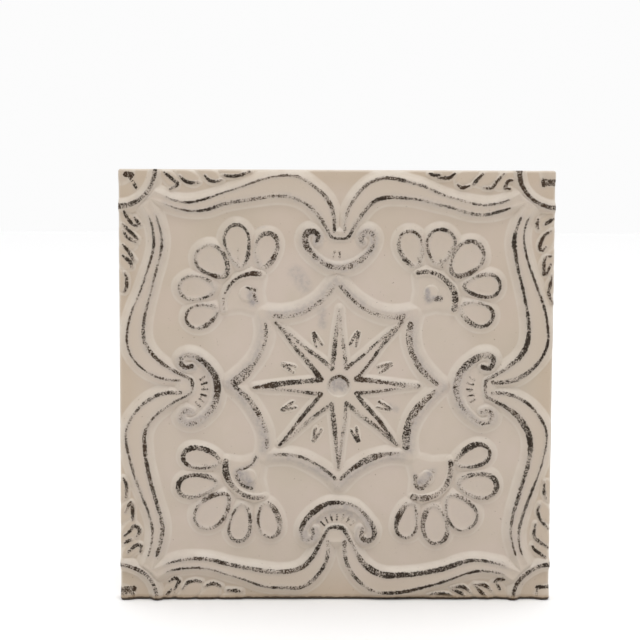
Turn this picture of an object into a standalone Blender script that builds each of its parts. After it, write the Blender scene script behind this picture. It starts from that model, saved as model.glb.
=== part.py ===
"""Square relief tile, glazed ceramic, made to be fixed flat to a wall.

The front faces -Y and carries a pressed pattern: an eight-rayed star in a
scalloped field, four crescents, four palmettes, an S-curved border band on
each side and a quarter medallion in each corner. Lengths are in metres.
Pattern points are in units of one two-hundredth of the tile's side, from the
tile's centre, so that the whole pattern follows the side length.
"""
import bmesh
import bpy
import numpy as np
from dataclasses import dataclass
from math import cos, pi, radians, sin
from mathutils import Vector
from mathutils.geometry import delaunay_2d_cdt

# Body; the front rim and the four upright corners are rounded alike
TILE_SIDE = 0.200
BODY_THICKNESS = 0.0085
EDGE_ROUND = 0.0012
UNIT = TILE_SIDE / 200.0
HALF = 100.0

# Relief heights over the ground of the front
RELIEF = 0.0030
BAND_HEIGHT = 1.00 * RELIEF
CRESCENT_HEIGHT = 0.95 * RELIEF
MEDALLION_HEIGHT = 0.95 * RELIEF
BUTTON_HEIGHT = 0.60 * RELIEF
PETAL_HEIGHT = 0.85 * RELIEF
ARC_HEIGHT = 0.80 * RELIEF
STAR_HEIGHT = 0.60 * RELIEF
LEAF_HEIGHT = 0.45 * RELIEF
SEED_HEIGHT = 0.25 * RELIEF

# How round a crest breaks into its slope: 0 is a sharp cove, 2 an even wave
SKIRT_ROUND = 1.1

# Slopes from a crest down to the ground, in units
BAND_SKIRT = 4.6
CRESCENT_SKIRT = 3.8
MEDALLION_SKIRT = 3.2
PETAL_SKIRT = 4.2
ARC_SKIRT = 4.6
STAR_SKIRT = 3.2
LEAF_SKIRT = 1.8
SEED_SKIRT = 1.2

# How finely the front is laid out, in points or in units, and how many triangles of it stay
CURVE_STEPS = 4
ARC_STEPS = 19
DROP_POINTS = 24
LEAF_POINTS = 12
SEED_POINTS = 8
RIM_STEP = 4.0
CORNER_STEPS = 4
MERGE = 0.05
FOOT_SHARE = 0.97
SLOPE_SHARES = (0.12, 0.35, 0.65, 1.0)
DISH_SHARES = (0.3, 0.65, 1.0)
FRONT_TRIANGLES = 8900

# Key slots in the back
SLOT_DEPTH = 0.0010
SLOT_WIDTH = 0.010
SLOT_GAP = 0.014
SLOT_MARGIN = 0.016
SLOT_END_MARGIN = 0.038
SLOT_ROWS = 3

# Each side of the tile: the way out from the centre and the way along it
SIDES = {
    "north": ((0, 1), (1, 0)),
    "east": ((1, 0), (0, 1)),
    "south": ((0, -1), (1, 0)),
    "west": ((-1, 0), (0, 1)),
}
CORNERS = {
    "north_west": (-1, 1),
    "north_east": (1, 1),
    "south_west": (-1, -1),
    "south_east": (1, -1),
}

# Border band, one half of a side: points (along, out) of its outer and inner crest
OUTER_CREST = [(2.5, 72.0), (2.8, 78.0), (5.0, 84.5), (9.5, 90.8), (15.5, 95.2), (23.0, 96.8), (35.0, 94.8),
               (50.0, 89.3), (60.0, 86.1), (68.0, 84.9), (76.0, 86.0), (83.0, 89.5)]
INNER_CREST = [(4.2, 69.8), (6.6, 74.0), (9.6, 79.0), (14.0, 84.0), (20.0, 87.2), (27.0, 88.0), (37.0, 87.0),
               (50.0, 84.0), (59.0, 81.5), (67.0, 80.6), (75.0, 82.0), (86.0, 86.0)]
NECK_END = {"north": 68.7, "west": 66.6, "east": 68.6, "south": 65.0}
NECK_SHOULDER = 0.6
BAND_DISH = 0.22
DISH_REACH = 2.8

# How each half band strays by hand: neck along the side, then hump, waist and tail outwards
STRAY_AT = (9.0, 23.0, 50.0, 68.0)
NECK_STRAY_AT = (9.0, 22.0)
BAND_STRAY = {
    ("north", -1): (-1.2, (0.6, 0.7, 0.3), (-0.4, 0.3, 0.6)),
    ("north", 1): (1.2, (-0.5, -1.0, -0.5), (-0.4, -0.7, -0.5)),
    ("west", 1): (0.7, (-0.4, -1.2, -1.0), (0.7, -0.5, -0.6)),
    ("west", -1): (-0.3, (0.2, 0.7, 0.0), (0.4, 0.0, -0.3)),
    ("east", 1): (0.0, (0.6, 1.4, 0.5), (0.4, 0.3, 0.5)),
    ("east", -1): (0.0, (0.6, 0.7, 0.3), (2.0, 1.0, 0.8)),
    ("south", -1): (1.1, (-2.8, -1.6, -0.6), (-1.7, -1.6, -0.5)),
    ("south", 1): (1.3, (-0.5, 1.7, 1.0), (0.0, 1.0, 0.3)),
}

# Crescent in the mouth of each side: one half of its rim, first the bow and then the volute at its tip
CRESCENT_BOW = [(0, 56.0), (6, 57.2), (11, 60.5), (14.3, 64.5), (15.8, 68.5)]
CRESCENT_VOLUTE = [(14.8, 71.8), (12.0, 72.4), (9.8, 70.6), (10.4, 67.8)]
CRESCENT_AT = {"north": (1.0, -0.6), "west": (-1.0, -1.0), "east": (-0.7, -0.4), "south": (0.8, -1.2)}
CRESCENT_RIM_HALF = 1.5
CRESCENT_WEB = 0.55

# Scalloped field: cusps of the four sides, junctions of the four corners, pull of the arcs
CUSP = {"north": (0.3, 49.6), "west": (1.6, 49.5), "east": (0.6, 49.0), "south": (1.4, 45.2)}
JUNCTION = {"north_west": (34.5, 34.8), "north_east": (36.0, 34.8), "south_west": (33.8, 32.6),
            "south_east": (34.2, 32.2)}
ARC_PULL = (15.0, 28.8)
ARC_CREST_HALF = 1.3

# Palmette in each corner: fan centre, collar, petal roots and petals (angle, reach, half width)
FAN_CENTRE = {"north_west": (38.0, 38.5), "north_east": (40.0, 39.5), "south_west": (37.0, 37.0),
              "south_east": (39.0, 37.5)}
COLLAR_REACH = 14.2
COLLAR_HALF = 1.1
COLLAR_SKIRT = 2.4
COLLAR_SPAN = (102, -12)
CALYX = 0.60
CALYX_SKIRT = 4.0
CALYX_WAIST = 0.45
CALYX_PULL = 1.6
BOSS_REACH = 3.0
BOSS_SKIRT = 2.2
BOSS_AT = (3.2, 4.6)
PETAL_ROOTS = [(103, 17.2), (71, 18.4), (44, 18.8), (22, 19.6), (-7.5, 17.0)]
PETALS = {
    "north_west": [(102, 33.2, 4.7), (76, 37.2, 5.7), (46, 35.4, 6.5), (12, 35.4, 5.6), (-15, 31.9, 5.0)],
    "north_east": [(104, 33.6, 5.4), (76, 34.6, 6.2), (47, 36.4, 6.6), (13, 35.8, 5.2), (-14, 32.4, 5.0)],
    "south_west": [(103, 33.8, 5.0), (76, 36.1, 5.2), (46, 38.6, 6.3), (16, 37.5, 5.2), (-9, 34.0, 4.6)],
    "south_east": [(103, 33.4, 4.9), (77, 36.4, 5.6), (50, 36.4, 6.6), (14, 36.9, 5.8), (-15, 33.0, 4.9)],
}
# How much a petal or leaf swells towards its tip
DROP_SWELL = 0.7
PETAL_DISH = 0.38

# Star: hub, dimple and the reach of each ray by its angle
HUB_AT = (1.1, 0.6)
HUB_REACH = 8.7
DIMPLE_REACH = 5.2
DIMPLE_DEPTH = 0.0016
RAYS = [(0, 36.5), (46, 41.0), (90, 35.6), (135, 41.0), (181, 39.5), (225, 38.9), (270, 38.5), (315, 38.5)]
STAR_DISH = 0.15
SEED_REACH = 24.0
SEED_HALF_LENGTH = 3.2
SEED_HALF_WIDTH = 1.1

# Quarter medallion and the leaves beside it: root (along, out), tip (along, out), half width
MEDALLION_REACH = 17.0
MEDALLION_HALF = 0.9
BUTTON_REACH = 3.5
BUTTON_SKIRT = 5.0
LEAVES = [((80.0, 99.0), (73.0, 92.0), 2.3), ((73.0, 99.5), (63.5, 93.5), 2.6),
          ((63.5, 100.5), (54.5, 94.5), 2.5), ((54.0, 101.0), (43.5, 97.5), 2.0)]


def smooth_line(knots):
    """A rounded line through all the knots."""
    first, last = 2 * knots[0] - knots[1], 2 * knots[-1] - knots[-2]
    knots = np.vstack([first, knots, last])
    points = []
    for before, start, end, after in zip(knots, knots[1:], knots[2:], knots[3:]):
        for step in range(CURVE_STEPS):
            t = step / CURVE_STEPS
            points.append(0.5 * (2 * start + (end - before) * t
                                 + (2 * before - 5 * start + 4 * end - after) * t ** 2
                                 + (3 * start - before - 3 * end + after) * t ** 3))
    points.append(knots[-2])
    return np.array(points)


def on_side(points, side, sign=1):
    """Points (along, out) of a side as points (x, z) of the tile."""
    out, along = SIDES[side]
    points = np.asarray(points, float)
    return points[:, :1] * sign * np.array(along) + points[:, 1:] * np.array(out)


def half_crest(points, neck, stray):
    """One crest of a half band, drawn out of true as on the tile."""
    points = np.array(points, float)
    along = points[:, 0].copy()
    points[:, 0] += np.interp(along, NECK_STRAY_AT, (neck, 0.0))
    points[:, 1] += np.interp(along, STRAY_AT, (0.0,) + stray)
    return points


def band_outline(side):
    """Closed outline of a side's band: in along one outer crest, out along the other, back along the inner one."""
    crests = {}
    for sign in (-1, 1):
        neck, outer_stray, inner_stray = BAND_STRAY[side, sign]
        outer = half_crest(OUTER_CREST, neck, outer_stray) * (sign, 1)
        inner = half_crest(INNER_CREST, neck, inner_stray) * (sign, 1)
        crests[sign] = outer, inner
    left, right = crests[-1][1], crests[1][1]
    middle, reach = (right[0] + left[0]) / 2, (right[0][0] - left[0][0]) / 2
    end = [(middle[0] + turn * reach, middle[1] - (middle[1] - NECK_END[side]) * np.sqrt(1 - turn ** 2))
           for turn in (NECK_SHOULDER, 0.0, -NECK_SHOULDER)]
    inner = np.vstack([right[::-1], end, left])
    outline = [smooth_line(crests[-1][0][::-1]), smooth_line(crests[1][0]), smooth_line(inner)]
    return on_side(np.vstack(outline), side)


def crescent_line(side, half):
    """Line of a crescent through the points of one half and their mirror image."""
    half = np.array(half)
    full = np.vstack([half[:0:-1] * (-1, 1), half]) + CRESCENT_AT[side]
    return on_side(smooth_line(full), side)


def arc_line(side, corner):
    """Open line of the scalloped field's arc from a side's cusp to a corner's junction."""
    sign_x, sign_z = CORNERS[corner]
    junction = np.array(JUNCTION[corner])
    sign = sign_x
    if side in ("east", "west"):
        sign = sign_z
        junction = junction[::-1]
    start = np.array(CUSP[side])
    pull = np.array(ARC_PULL) * (sign, 1)
    end = junction * (sign, 1)
    t = np.linspace(0, 1, ARC_STEPS)[:, None]
    return on_side((1 - t) ** 2 * start + 2 * t * (1 - t) * pull + t ** 2 * end, side)


def drop_outline(root, tip, half_width, points):
    """Closed drop, narrow at its root and round at its tip."""
    root, tip = np.array(root, float), np.array(tip, float)
    axis = tip - root
    across = np.array((-axis[1], axis[0])) / np.hypot(*axis)
    angle = np.linspace(0, 2 * pi, points, endpoint=False)
    share = (1 - np.cos(angle)) / 2
    width = np.sin(angle) * (1 + DROP_SWELL * share)
    width *= half_width / width.max()
    return root + np.outer(share, axis) + np.outer(width, across)


def fan_point(corner, angle, reach):
    """Point of a palmette at an angle and reach from its fan centre."""
    centre = np.array(FAN_CENTRE[corner])
    return (centre + reach * np.array((cos(radians(angle)), sin(radians(angle))))) * CORNERS[corner]


def petal_outlines(corner):
    """Closed outlines of a palmette's petals."""
    outlines = []
    for (root_angle, root_reach), (angle, reach, half_width) in zip(PETAL_ROOTS, PETALS[corner]):
        root = fan_point(corner, root_angle, root_reach)
        tip = fan_point(corner, angle, reach)
        outlines.append(drop_outline(root, tip, half_width, DROP_POINTS))
    return outlines


def star_outline():
    """Closed outline of the star, ray tip and hub corner in turn."""
    points = []
    for index, (angle, reach) in enumerate(RAYS):
        following = RAYS[(index + 1) % len(RAYS)][0]
        between = (angle + following) / 2 if following > angle else (angle + following + 360) / 2
        points.append(reach * np.array((cos(radians(angle)), sin(radians(angle)))))
        points.append(HUB_REACH * np.array((cos(radians(between)), sin(radians(between)))))
    return np.array(points) + HUB_AT


def line_distance(x, z, line, closed=False):
    """Distance of every place to a line."""
    ends = np.roll(line, -1, axis=0) if closed else line[1:]
    starts = line[:len(ends)]
    run = ends - starts
    from_x, from_z = x[:, None] - starts[:, 0], z[:, None] - starts[:, 1]
    length = np.maximum((run ** 2).sum(axis=1), 1e-12)
    share = np.clip((from_x * run[:, 0] + from_z * run[:, 1]) / length, 0, 1)
    return np.hypot(from_x - share * run[:, 0], from_z - share * run[:, 1]).min(axis=1)


def inside(x, z, outline):
    """Whether every place lies within a closed outline."""
    start_x, start_z = outline.T
    end_x, end_z = np.roll(outline, -1, axis=0).T
    level = np.where(start_z == end_z, 1.0, end_z - start_z)
    crosses = (start_z > z[:, None]) != (end_z > z[:, None])
    at = start_x + (z[:, None] - start_z) * (end_x - start_x) / level
    return (crosses & (x[:, None] < at)).sum(axis=1) % 2 == 1


def outline_distance(x, z, outline):
    """Distance to a closed outline, below zero inside it."""
    away = line_distance(x, z, outline, closed=True)
    return np.where(inside(x, z, outline), -away, away)


def skirt(away, width):
    """Fall from a crest to the ground: one at the crest, zero at the foot, coved between."""
    t = np.clip(away / width, 0, 1)
    return (1 - t) ** 2 * (1 + SKIRT_ROUND * t)


@dataclass
class Piece:
    """One raised piece of the pattern: a pad within a closed line, or a ridge along an open one."""
    line: np.ndarray
    top: float
    skirt: float
    closed: bool = True
    half: float = 0.0
    dish: float = 0.0

    def away(self, x, z):
        """Distance of every place from the piece's crest, below zero within it."""
        if self.closed:
            return outline_distance(x, z, self.line)
        return line_distance(x, z, self.line) - self.half

    def height(self, x, z):
        """Height of the piece over the ground at every place."""
        away = self.away(x, z)
        hollow = np.clip(-away / DISH_REACH, 0, 1)
        within = 1 - self.dish * hollow * (2 - hollow)
        return self.top * np.where(away > 0, skirt(away, self.skirt), within)

    def near(self, x, z):
        """The places that the piece can reach."""
        margin = self.half + self.skirt
        low, high = self.line.min(axis=0) - margin, self.line.max(axis=0) + margin
        return (x >= low[0]) & (x <= high[0]) & (z >= low[1]) & (z <= high[1])


def circle(centre, radius, points):
    """Closed circle."""
    angle = np.linspace(0, 2 * pi, points, endpoint=False)
    return np.array(centre) + radius * np.stack([np.cos(angle), np.sin(angle)], axis=1)


def side_pieces(side):
    """Band, crescent and leaves of one side of the tile."""
    web = crescent_line(side, CRESCENT_BOW)
    rim = crescent_line(side, CRESCENT_BOW + CRESCENT_VOLUTE)
    pieces = [
        Piece(band_outline(side), BAND_HEIGHT, BAND_SKIRT, dish=BAND_DISH),
        Piece(web, CRESCENT_WEB * CRESCENT_HEIGHT, CRESCENT_SKIRT),
        Piece(rim, CRESCENT_HEIGHT, CRESCENT_SKIRT, closed=False, half=CRESCENT_RIM_HALF),
    ]
    for sign in (-1, 1):
        for root, tip, half_width in LEAVES:
            leaf = on_side(drop_outline(root, tip, half_width, LEAF_POINTS), side, sign)
            pieces.append(Piece(leaf, LEAF_HEIGHT, LEAF_SKIRT))
    return pieces


def corner_pieces(corner):
    """Arcs, palmette and quarter medallion of one corner of the tile."""
    signs = np.array(CORNERS[corner])
    sides = ("north" if signs[1] > 0 else "south", "east" if signs[0] > 0 else "west")
    pieces = [Piece(arc_line(side, corner), ARC_HEIGHT, ARC_SKIRT, closed=False, half=ARC_CREST_HALF)
              for side in sides]
    pieces += [Piece(petal, PETAL_HEIGHT, PETAL_SKIRT, dish=PETAL_DISH) for petal in petal_outlines(corner)]
    collar = np.array([fan_point(corner, angle, COLLAR_REACH) for angle in np.linspace(*COLLAR_SPAN, ARC_STEPS)])
    pieces.append(Piece(collar, PETAL_HEIGHT, COLLAR_SKIRT, closed=False, half=COLLAR_HALF))
    junction = np.array(JUNCTION[corner]) * signs
    waist = CALYX_WAIST * junction + (1 - CALYX_WAIST) * collar[[0, -1]] + CALYX_PULL * np.diag(signs)
    calyx = np.vstack([collar, waist[1], junction, waist[0]])
    pieces.append(Piece(calyx, CALYX * PETAL_HEIGHT, CALYX_SKIRT))
    boss = circle((np.array(FAN_CENTRE[corner]) + BOSS_AT) * signs, BOSS_REACH, LEAF_POINTS)
    pieces.append(Piece(boss, PETAL_HEIGHT, BOSS_SKIRT))
    tile_corner = HALF * signs
    turn = np.radians(np.linspace(0, 90, ARC_STEPS))
    ring = tile_corner - MEDALLION_REACH * np.stack([np.cos(turn), np.sin(turn)], axis=1) * signs
    pieces.append(Piece(ring, MEDALLION_HEIGHT, MEDALLION_SKIRT, closed=False, half=MEDALLION_HALF))
    button = circle(tile_corner, BUTTON_REACH, DROP_POINTS)
    pieces.append(Piece(button, BUTTON_HEIGHT, BUTTON_SKIRT))
    return pieces


def star_pieces():
    """Star and the seeds between its rays."""
    pieces = [Piece(star_outline(), STAR_HEIGHT, STAR_SKIRT, dish=STAR_DISH)]
    for angle, _ in RAYS:
        middle = radians(angle + 180 / len(RAYS))
        way = np.array((cos(middle), sin(middle)))
        root, tip = way * (SEED_REACH - SEED_HALF_LENGTH), way * (SEED_REACH + SEED_HALF_LENGTH)
        seed = drop_outline(root, tip, SEED_HALF_WIDTH, SEED_POINTS)
        pieces.append(Piece(seed, SEED_HEIGHT, SEED_SKIRT))
    return pieces


def dimple_depth(x, z):
    """Depth of the round hollow in the middle of the star."""
    away = np.hypot(x - HUB_AT[0], z - HUB_AT[1])
    return DIMPLE_DEPTH * np.sqrt(np.clip(1 - (away / DIMPLE_REACH) ** 2, 0, 1))


def relief_height(pieces, x, z):
    """Height of the relief over the ground at every place of the front."""
    height = np.zeros(x.shape)
    for piece in pieces:
        reach = piece.near(x, z)
        if not reach.any():
            continue
        height[reach] = np.maximum(height[reach], piece.height(x[reach], z[reach]))
    return height - dimple_depth(x, z)


def outness(x, z):
    """How far out every place lies, measured on squares whose corners are rounded beyond the flat."""
    flat = HALF - EDGE_ROUND / UNIT
    past_x, past_z = np.abs(x) - flat, np.abs(z) - flat
    corner = (past_x > 0) & (past_z > 0)
    return np.where(corner, flat + np.hypot(past_x, past_z), np.maximum(np.abs(x), np.abs(z)))


def edge_fall(x, z):
    """Depth of the rounding along the rim of the front."""
    into = np.clip((HALF - outness(x, z)) * UNIT / EDGE_ROUND, 0, 1)
    return EDGE_ROUND * (1 - np.sqrt(1 - (1 - into) ** 2))


def beside(line, distance, closed):
    """Points at a distance to the left of a line, one for each of its points."""
    if closed:
        run = np.roll(line, -1, axis=0) - np.roll(line, 1, axis=0)
    else:
        run = np.gradient(line, axis=0)
    run /= np.hypot(run[:, 0], run[:, 1])[:, None]
    return line + distance * np.stack([-run[:, 1], run[:, 0]], axis=1)


class Layout:
    """Points and fixed lines that the triangles of the front are laid through."""

    def __init__(self):
        self.points = []
        self.lines = []

    def add_points(self, points):
        margin = HALF - 1.5 * EDGE_ROUND / UNIT
        kept = np.abs(points).max(axis=1) < margin
        first = len(self.points)
        self.points += [Vector(point) for point in points[kept]]
        return [first + index if keep else None for index, keep in zip(np.cumsum(kept) - 1, kept)]

    def add_line(self, line, closed):
        numbers = self.add_points(line)
        following = numbers[1:] + (numbers[:1] if closed else [])
        self.lines += [pair for pair in zip(numbers, following) if None not in pair]

    def add_rim(self, inset):
        """A square of points a little way in from the sides, with round corners if it lies beyond the flat."""
        flat, radius = HALF - EDGE_ROUND / UNIT, EDGE_ROUND / UNIT - inset
        run = np.linspace(-flat, flat, round(2 * HALF / RIM_STEP) + 1)
        side = np.stack([run, np.full(len(run), -HALF + inset)], axis=1)[:-1]
        if radius > 0:
            turn = np.radians(np.linspace(-90, 0, CORNER_STEPS + 1))[:-1]
            side = np.vstack([side, np.array((flat, -flat)) + radius * np.stack([np.cos(turn), np.sin(turn)], axis=1)])
        sides = [side]
        for _ in range(3):
            sides.append(np.stack([-sides[-1][:, 1], sides[-1][:, 0]], axis=1))
        square = np.vstack(sides)
        first = len(self.points)
        self.points += [Vector(point) for point in square]
        self.lines += [(first + index, first + (index + 1) % len(square)) for index in range(len(square))]


def lay_out(pieces):
    """Lay points along the crests, slopes, feet and dishes of all the pieces."""
    layout = Layout()
    layout.add_rim(0.0)
    layout.add_rim(EDGE_ROUND / UNIT)
    for piece in pieces:
        layout.add_line(piece.line, piece.closed)
        for turn in (-1, 1):
            if piece.half:
                layout.add_line(beside(piece.line, turn * piece.half, piece.closed), piece.closed)
            for share in SLOPE_SHARES:
                slope = beside(piece.line, turn * (piece.half + share * piece.skirt), piece.closed)
                away = piece.away(*slope.T)
                layout.add_points(slope[away > FOOT_SHARE * share * piece.skirt])
            for share in DISH_SHARES if piece.dish else ():
                hollow = beside(piece.line, turn * share * DISH_REACH, piece.closed)
                away = piece.away(*hollow.T)
                layout.add_points(hollow[away < -FOOT_SHARE * share * DISH_REACH])
    layout.add_line(circle(HUB_AT, DIMPLE_REACH, DROP_POINTS), True)
    for share in DISH_SHARES:
        layout.add_points(circle(HUB_AT, (1 - share) * DIMPLE_REACH, DROP_POINTS // 2))
    return layout


def front_sheet(pieces, collection):
    """The open front surface, its triangles laid along the crests and thinned where they gain nothing."""
    layout = lay_out(pieces)
    points, _, faces, _, _, _ = delaunay_2d_cdt(layout.points, layout.lines, [], 0, MERGE)
    x, z = np.array(points).T
    rise = BODY_THICKNESS + relief_height(pieces, x, z) - edge_fall(x, z)
    mesh = bpy.data.meshes.new("front_sheet")
    mesh.from_pydata(list(zip(x * UNIT, -rise, z * UNIT)), [], faces)
    sheet = bpy.data.objects.new("front_sheet", mesh)
    collection.objects.link(sheet)
    within = np.flatnonzero(np.maximum(np.abs(x), np.abs(z)) < HALF - 1.01 * EDGE_ROUND / UNIT)
    sheet.vertex_groups.new(name="thinned").add(within.tolist(), 1.0, "REPLACE")
    thin = sheet.modifiers.new("Thin", "DECIMATE")
    thin.ratio = FRONT_TRIANGLES / len(faces)
    thin.vertex_group = "thinned"
    bpy.context.view_layer.update()
    graph = bpy.context.evaluated_depsgraph_get()
    thinned = bpy.data.meshes.new_from_object(sheet.evaluated_get(graph))
    bpy.data.objects.remove(sheet, do_unlink=True)
    return thinned


def tile_mesh(collection):
    """The closed body: the front with straight sides and a flat back."""
    pieces = [piece for side in SIDES for piece in side_pieces(side)]
    pieces += [piece for corner in CORNERS for piece in corner_pieces(corner)]
    pieces += star_pieces()
    mesh = front_sheet(pieces, collection)
    mesh.name = "tile"
    form = bmesh.new()
    form.from_mesh(mesh)
    rim = [edge for edge in form.edges if edge.is_boundary]
    grown = bmesh.ops.extrude_edge_only(form, edges=rim)["geom"]
    for element in grown:
        if isinstance(element, bmesh.types.BMVert):
            element.co.y = 0.0
    back = [element for element in grown if isinstance(element, bmesh.types.BMEdge)]
    bmesh.ops.dissolve_limit(form, angle_limit=radians(0.1), verts=[], edges=back)
    bmesh.ops.contextual_create(form, geom=[edge for edge in form.edges if edge.is_boundary])
    bmesh.ops.recalc_face_normals(form, faces=form.faces)
    form.to_mesh(mesh)
    form.free()
    return mesh


def key_cutter(collection):
    """Cutter for all the key slots of the back, long and round-ended."""
    mesh = bpy.data.meshes.new("key_slots")
    form = bmesh.new()
    straight = (TILE_SIDE - 2 * SLOT_END_MARGIN - SLOT_WIDTH) / 2
    outermost = TILE_SIDE / 2 - SLOT_MARGIN - SLOT_WIDTH / 2
    rows = [outermost - row * (SLOT_WIDTH + SLOT_GAP) for row in range(SLOT_ROWS)]
    for level in rows + [-row for row in rows]:
        outline = []
        for end in (1, -1):
            for angle in np.radians(np.linspace(-90, 90, 7)):
                x = end * (straight + SLOT_WIDTH / 2 * cos(angle))
                z = level + end * SLOT_WIDTH / 2 * sin(angle)
                outline.append(form.verts.new((x, SLOT_DEPTH, z)))
        grown = bmesh.ops.extrude_face_region(form, geom=[form.faces.new(outline)])["geom"]
        for element in grown:
            if isinstance(element, bmesh.types.BMVert):
                element.co.y = -SLOT_DEPTH
    bmesh.ops.recalc_face_normals(form, faces=form.faces)
    form.to_mesh(mesh)
    form.free()
    cutter = bpy.data.objects.new("key_slots", mesh)
    cutter.hide_render = True
    cutter.display_type = "WIRE"
    collection.objects.link(cutter)
    return cutter


def glaze():
    """Matte cream glaze, rubbed and a little uneven."""
    material = bpy.data.materials.new("cream_glaze")
    material.use_nodes = True
    shader = material.node_tree.nodes["Principled BSDF"]
    shader.inputs["Base Color"].default_value = (0.56, 0.49, 0.42, 1.0)
    shader.inputs["Roughness"].default_value = 0.6
    return material


def main():
    for existing in list(bpy.data.objects):
        bpy.data.objects.remove(existing, do_unlink=True)
    parts = bpy.data.collections.new("relief_tile")
    cutters = bpy.data.collections.new("cutters")
    for collection in (parts, cutters):
        bpy.context.scene.collection.children.link(collection)
    tile = bpy.data.objects.new("tile", tile_mesh(cutters))
    tile.data.materials.append(glaze())
    parts.objects.link(tile)
    cut = tile.modifiers.new("Key slots", "BOOLEAN")
    cut.operation = "DIFFERENCE"
    cut.solver = "EXACT"
    cut.object = key_cutter(cutters)


main()
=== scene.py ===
"""Dresses the relief tile: the carving at full fineness under a rubbed cream glaze, on a pale floor."""
from dataclasses import dataclass
from math import cos, pi, radians, sin

import bmesh
import bpy
import numpy as np
from mathutils import Euler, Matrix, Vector
from mathutils.geometry import delaunay_2d_cdt


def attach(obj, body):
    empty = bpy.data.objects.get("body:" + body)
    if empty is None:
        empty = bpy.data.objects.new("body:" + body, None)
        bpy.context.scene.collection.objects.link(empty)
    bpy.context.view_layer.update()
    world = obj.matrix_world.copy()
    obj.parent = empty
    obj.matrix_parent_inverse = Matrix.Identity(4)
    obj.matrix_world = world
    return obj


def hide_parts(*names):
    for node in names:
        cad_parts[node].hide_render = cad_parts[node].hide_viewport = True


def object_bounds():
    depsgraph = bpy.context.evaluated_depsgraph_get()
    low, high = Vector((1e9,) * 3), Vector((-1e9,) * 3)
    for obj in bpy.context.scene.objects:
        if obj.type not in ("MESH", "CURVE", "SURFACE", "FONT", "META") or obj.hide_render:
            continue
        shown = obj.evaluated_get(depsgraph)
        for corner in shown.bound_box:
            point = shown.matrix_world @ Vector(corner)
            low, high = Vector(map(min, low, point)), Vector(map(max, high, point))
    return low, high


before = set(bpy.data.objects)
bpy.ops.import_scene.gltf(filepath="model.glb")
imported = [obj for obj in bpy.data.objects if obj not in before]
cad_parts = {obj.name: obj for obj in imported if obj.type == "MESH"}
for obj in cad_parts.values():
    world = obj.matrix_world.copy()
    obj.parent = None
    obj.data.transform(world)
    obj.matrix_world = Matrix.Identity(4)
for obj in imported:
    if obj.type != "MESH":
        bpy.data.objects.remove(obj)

cad_low, cad_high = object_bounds()

# Body in metres; points of the pattern are in units of a two-hundredth of the side
TILE_SIDE = 0.200
BODY_THICKNESS = 0.0085
EDGE_ROUND = 0.0012
BACK_ROUND = 0.0006
BACK_EASE = 0.3 * BACK_ROUND
UNIT = TILE_SIDE / 200.0
HALF = 100.0

# Relief heights over the ground of the front
RELIEF = 0.0030
BAND_HEIGHT = 1.00 * RELIEF
CRESCENT_HEIGHT = 0.95 * RELIEF
MEDALLION_HEIGHT = 0.95 * RELIEF
BUTTON_HEIGHT = 0.60 * RELIEF
PETAL_HEIGHT = 0.85 * RELIEF
ARC_HEIGHT = 0.80 * RELIEF
STAR_HEIGHT = 0.60 * RELIEF
LEAF_HEIGHT = 0.45 * RELIEF
LEAF_GROUND = 0.6
SEED_HEIGHT = 0.25 * RELIEF
TICK_HEIGHT = 0.66 * RELIEF

# Slopes from a crest down to the ground, in units
SKIRT_ROUND = 1.1
BAND_SKIRT = 4.6
CRESCENT_SKIRT = 3.8
MEDALLION_SKIRT = 3.2
PETAL_SKIRT = 4.2
ARC_SKIRT = 4.6
STAR_SKIRT = 3.2
LEAF_SKIRT = 1.8
SEED_SKIRT = 1.2

# How finely the visible surface is laid out
FRONT_STEPS = 600
FRONT_TRIANGLES = 168000
CURVE_STEPS = 6
ARC_STEPS = 25
DROP_SWELL = 0.7
DROP_POINTS = 32
LEAF_POINTS = 16
SEED_POINTS = 12

# Key slots in the back
SLOT_DEPTH = 0.0010
SLOT_WIDTH = 0.010
SLOT_GAP = 0.014
SLOT_MARGIN = 0.016
SLOT_END_MARGIN = 0.038
SLOT_ROWS = 3
SLOT_EDGE = 0.0009
SLOT_INSETS = (0.0, 0.0003, SLOT_EDGE)
SLOT_END_POINTS = 17
BACK_STEP = 0.004

# Hand-made unevenness: how far lines wander and the ground swells, how long the waves are, and how wide
# the calm strip is along the edge
WANDER = 0.32
SWELL = 0.00010
RIPPLE = 0.00005
GRAIN = 0.00002
WAVES = 9
WAVE_SPREAD = (0.7, 1.6)
WANDER_WAVE = 17
SWELL_WAVE = 26
RIPPLE_WAVE = 9
GRAIN_WAVE = 2.6
WANDER_CALM = 6
SWELL_CALM = 3

# How far forward the bare clay of the rear reaches, as a share of the body's thickness
BARE_REACH = 0.75

# How far round a rubbed mark its edge distance is stored, how far its wash reaches in half widths, how much
# paler slopes weaken a wash, and how the brushing slants and is set apart from mark to mark
MARK_MARGIN = 1.5
WASH_REACH = 1.4
WASH_ON_SLOPE = 0.55
BRUSH_SLANT = 0.7
BRUSH_APART = 7.0

# Paler slopes, partly paler glaze on every slope and partly a painted highlight that grows on slopes facing
# upward: the tilt at which they are at their palest, their share on level slopes and the painted highlight's
# share on upward ones, and what the highest crests keep off. Warmer ground: where it starts outward and how
# wide it fades in.
SLOPE_FULL = 0.32
SLOPE_LEVEL = 0.85
UPWARD_PAINTED_HIGHLIGHT = 0.6
SLOPE_CREST = 0.3
WARM_RIM = (84, 12)
WARM_TOP = (58, 10)
WARM_TOP_RISE = 30
WARM_TOP_SHARE = 0.4
# How far up the bottom strip reaches: tan clay, then bare clay darkened as painted contact shadow under the
# rounded lower edge
FOOT_REACH = 4

# Strip round the front that keeps all its points, and the angle from which an edge stays sharp
RIM_KEPT = 0.5
SHARP_ANGLE = 50

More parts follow.
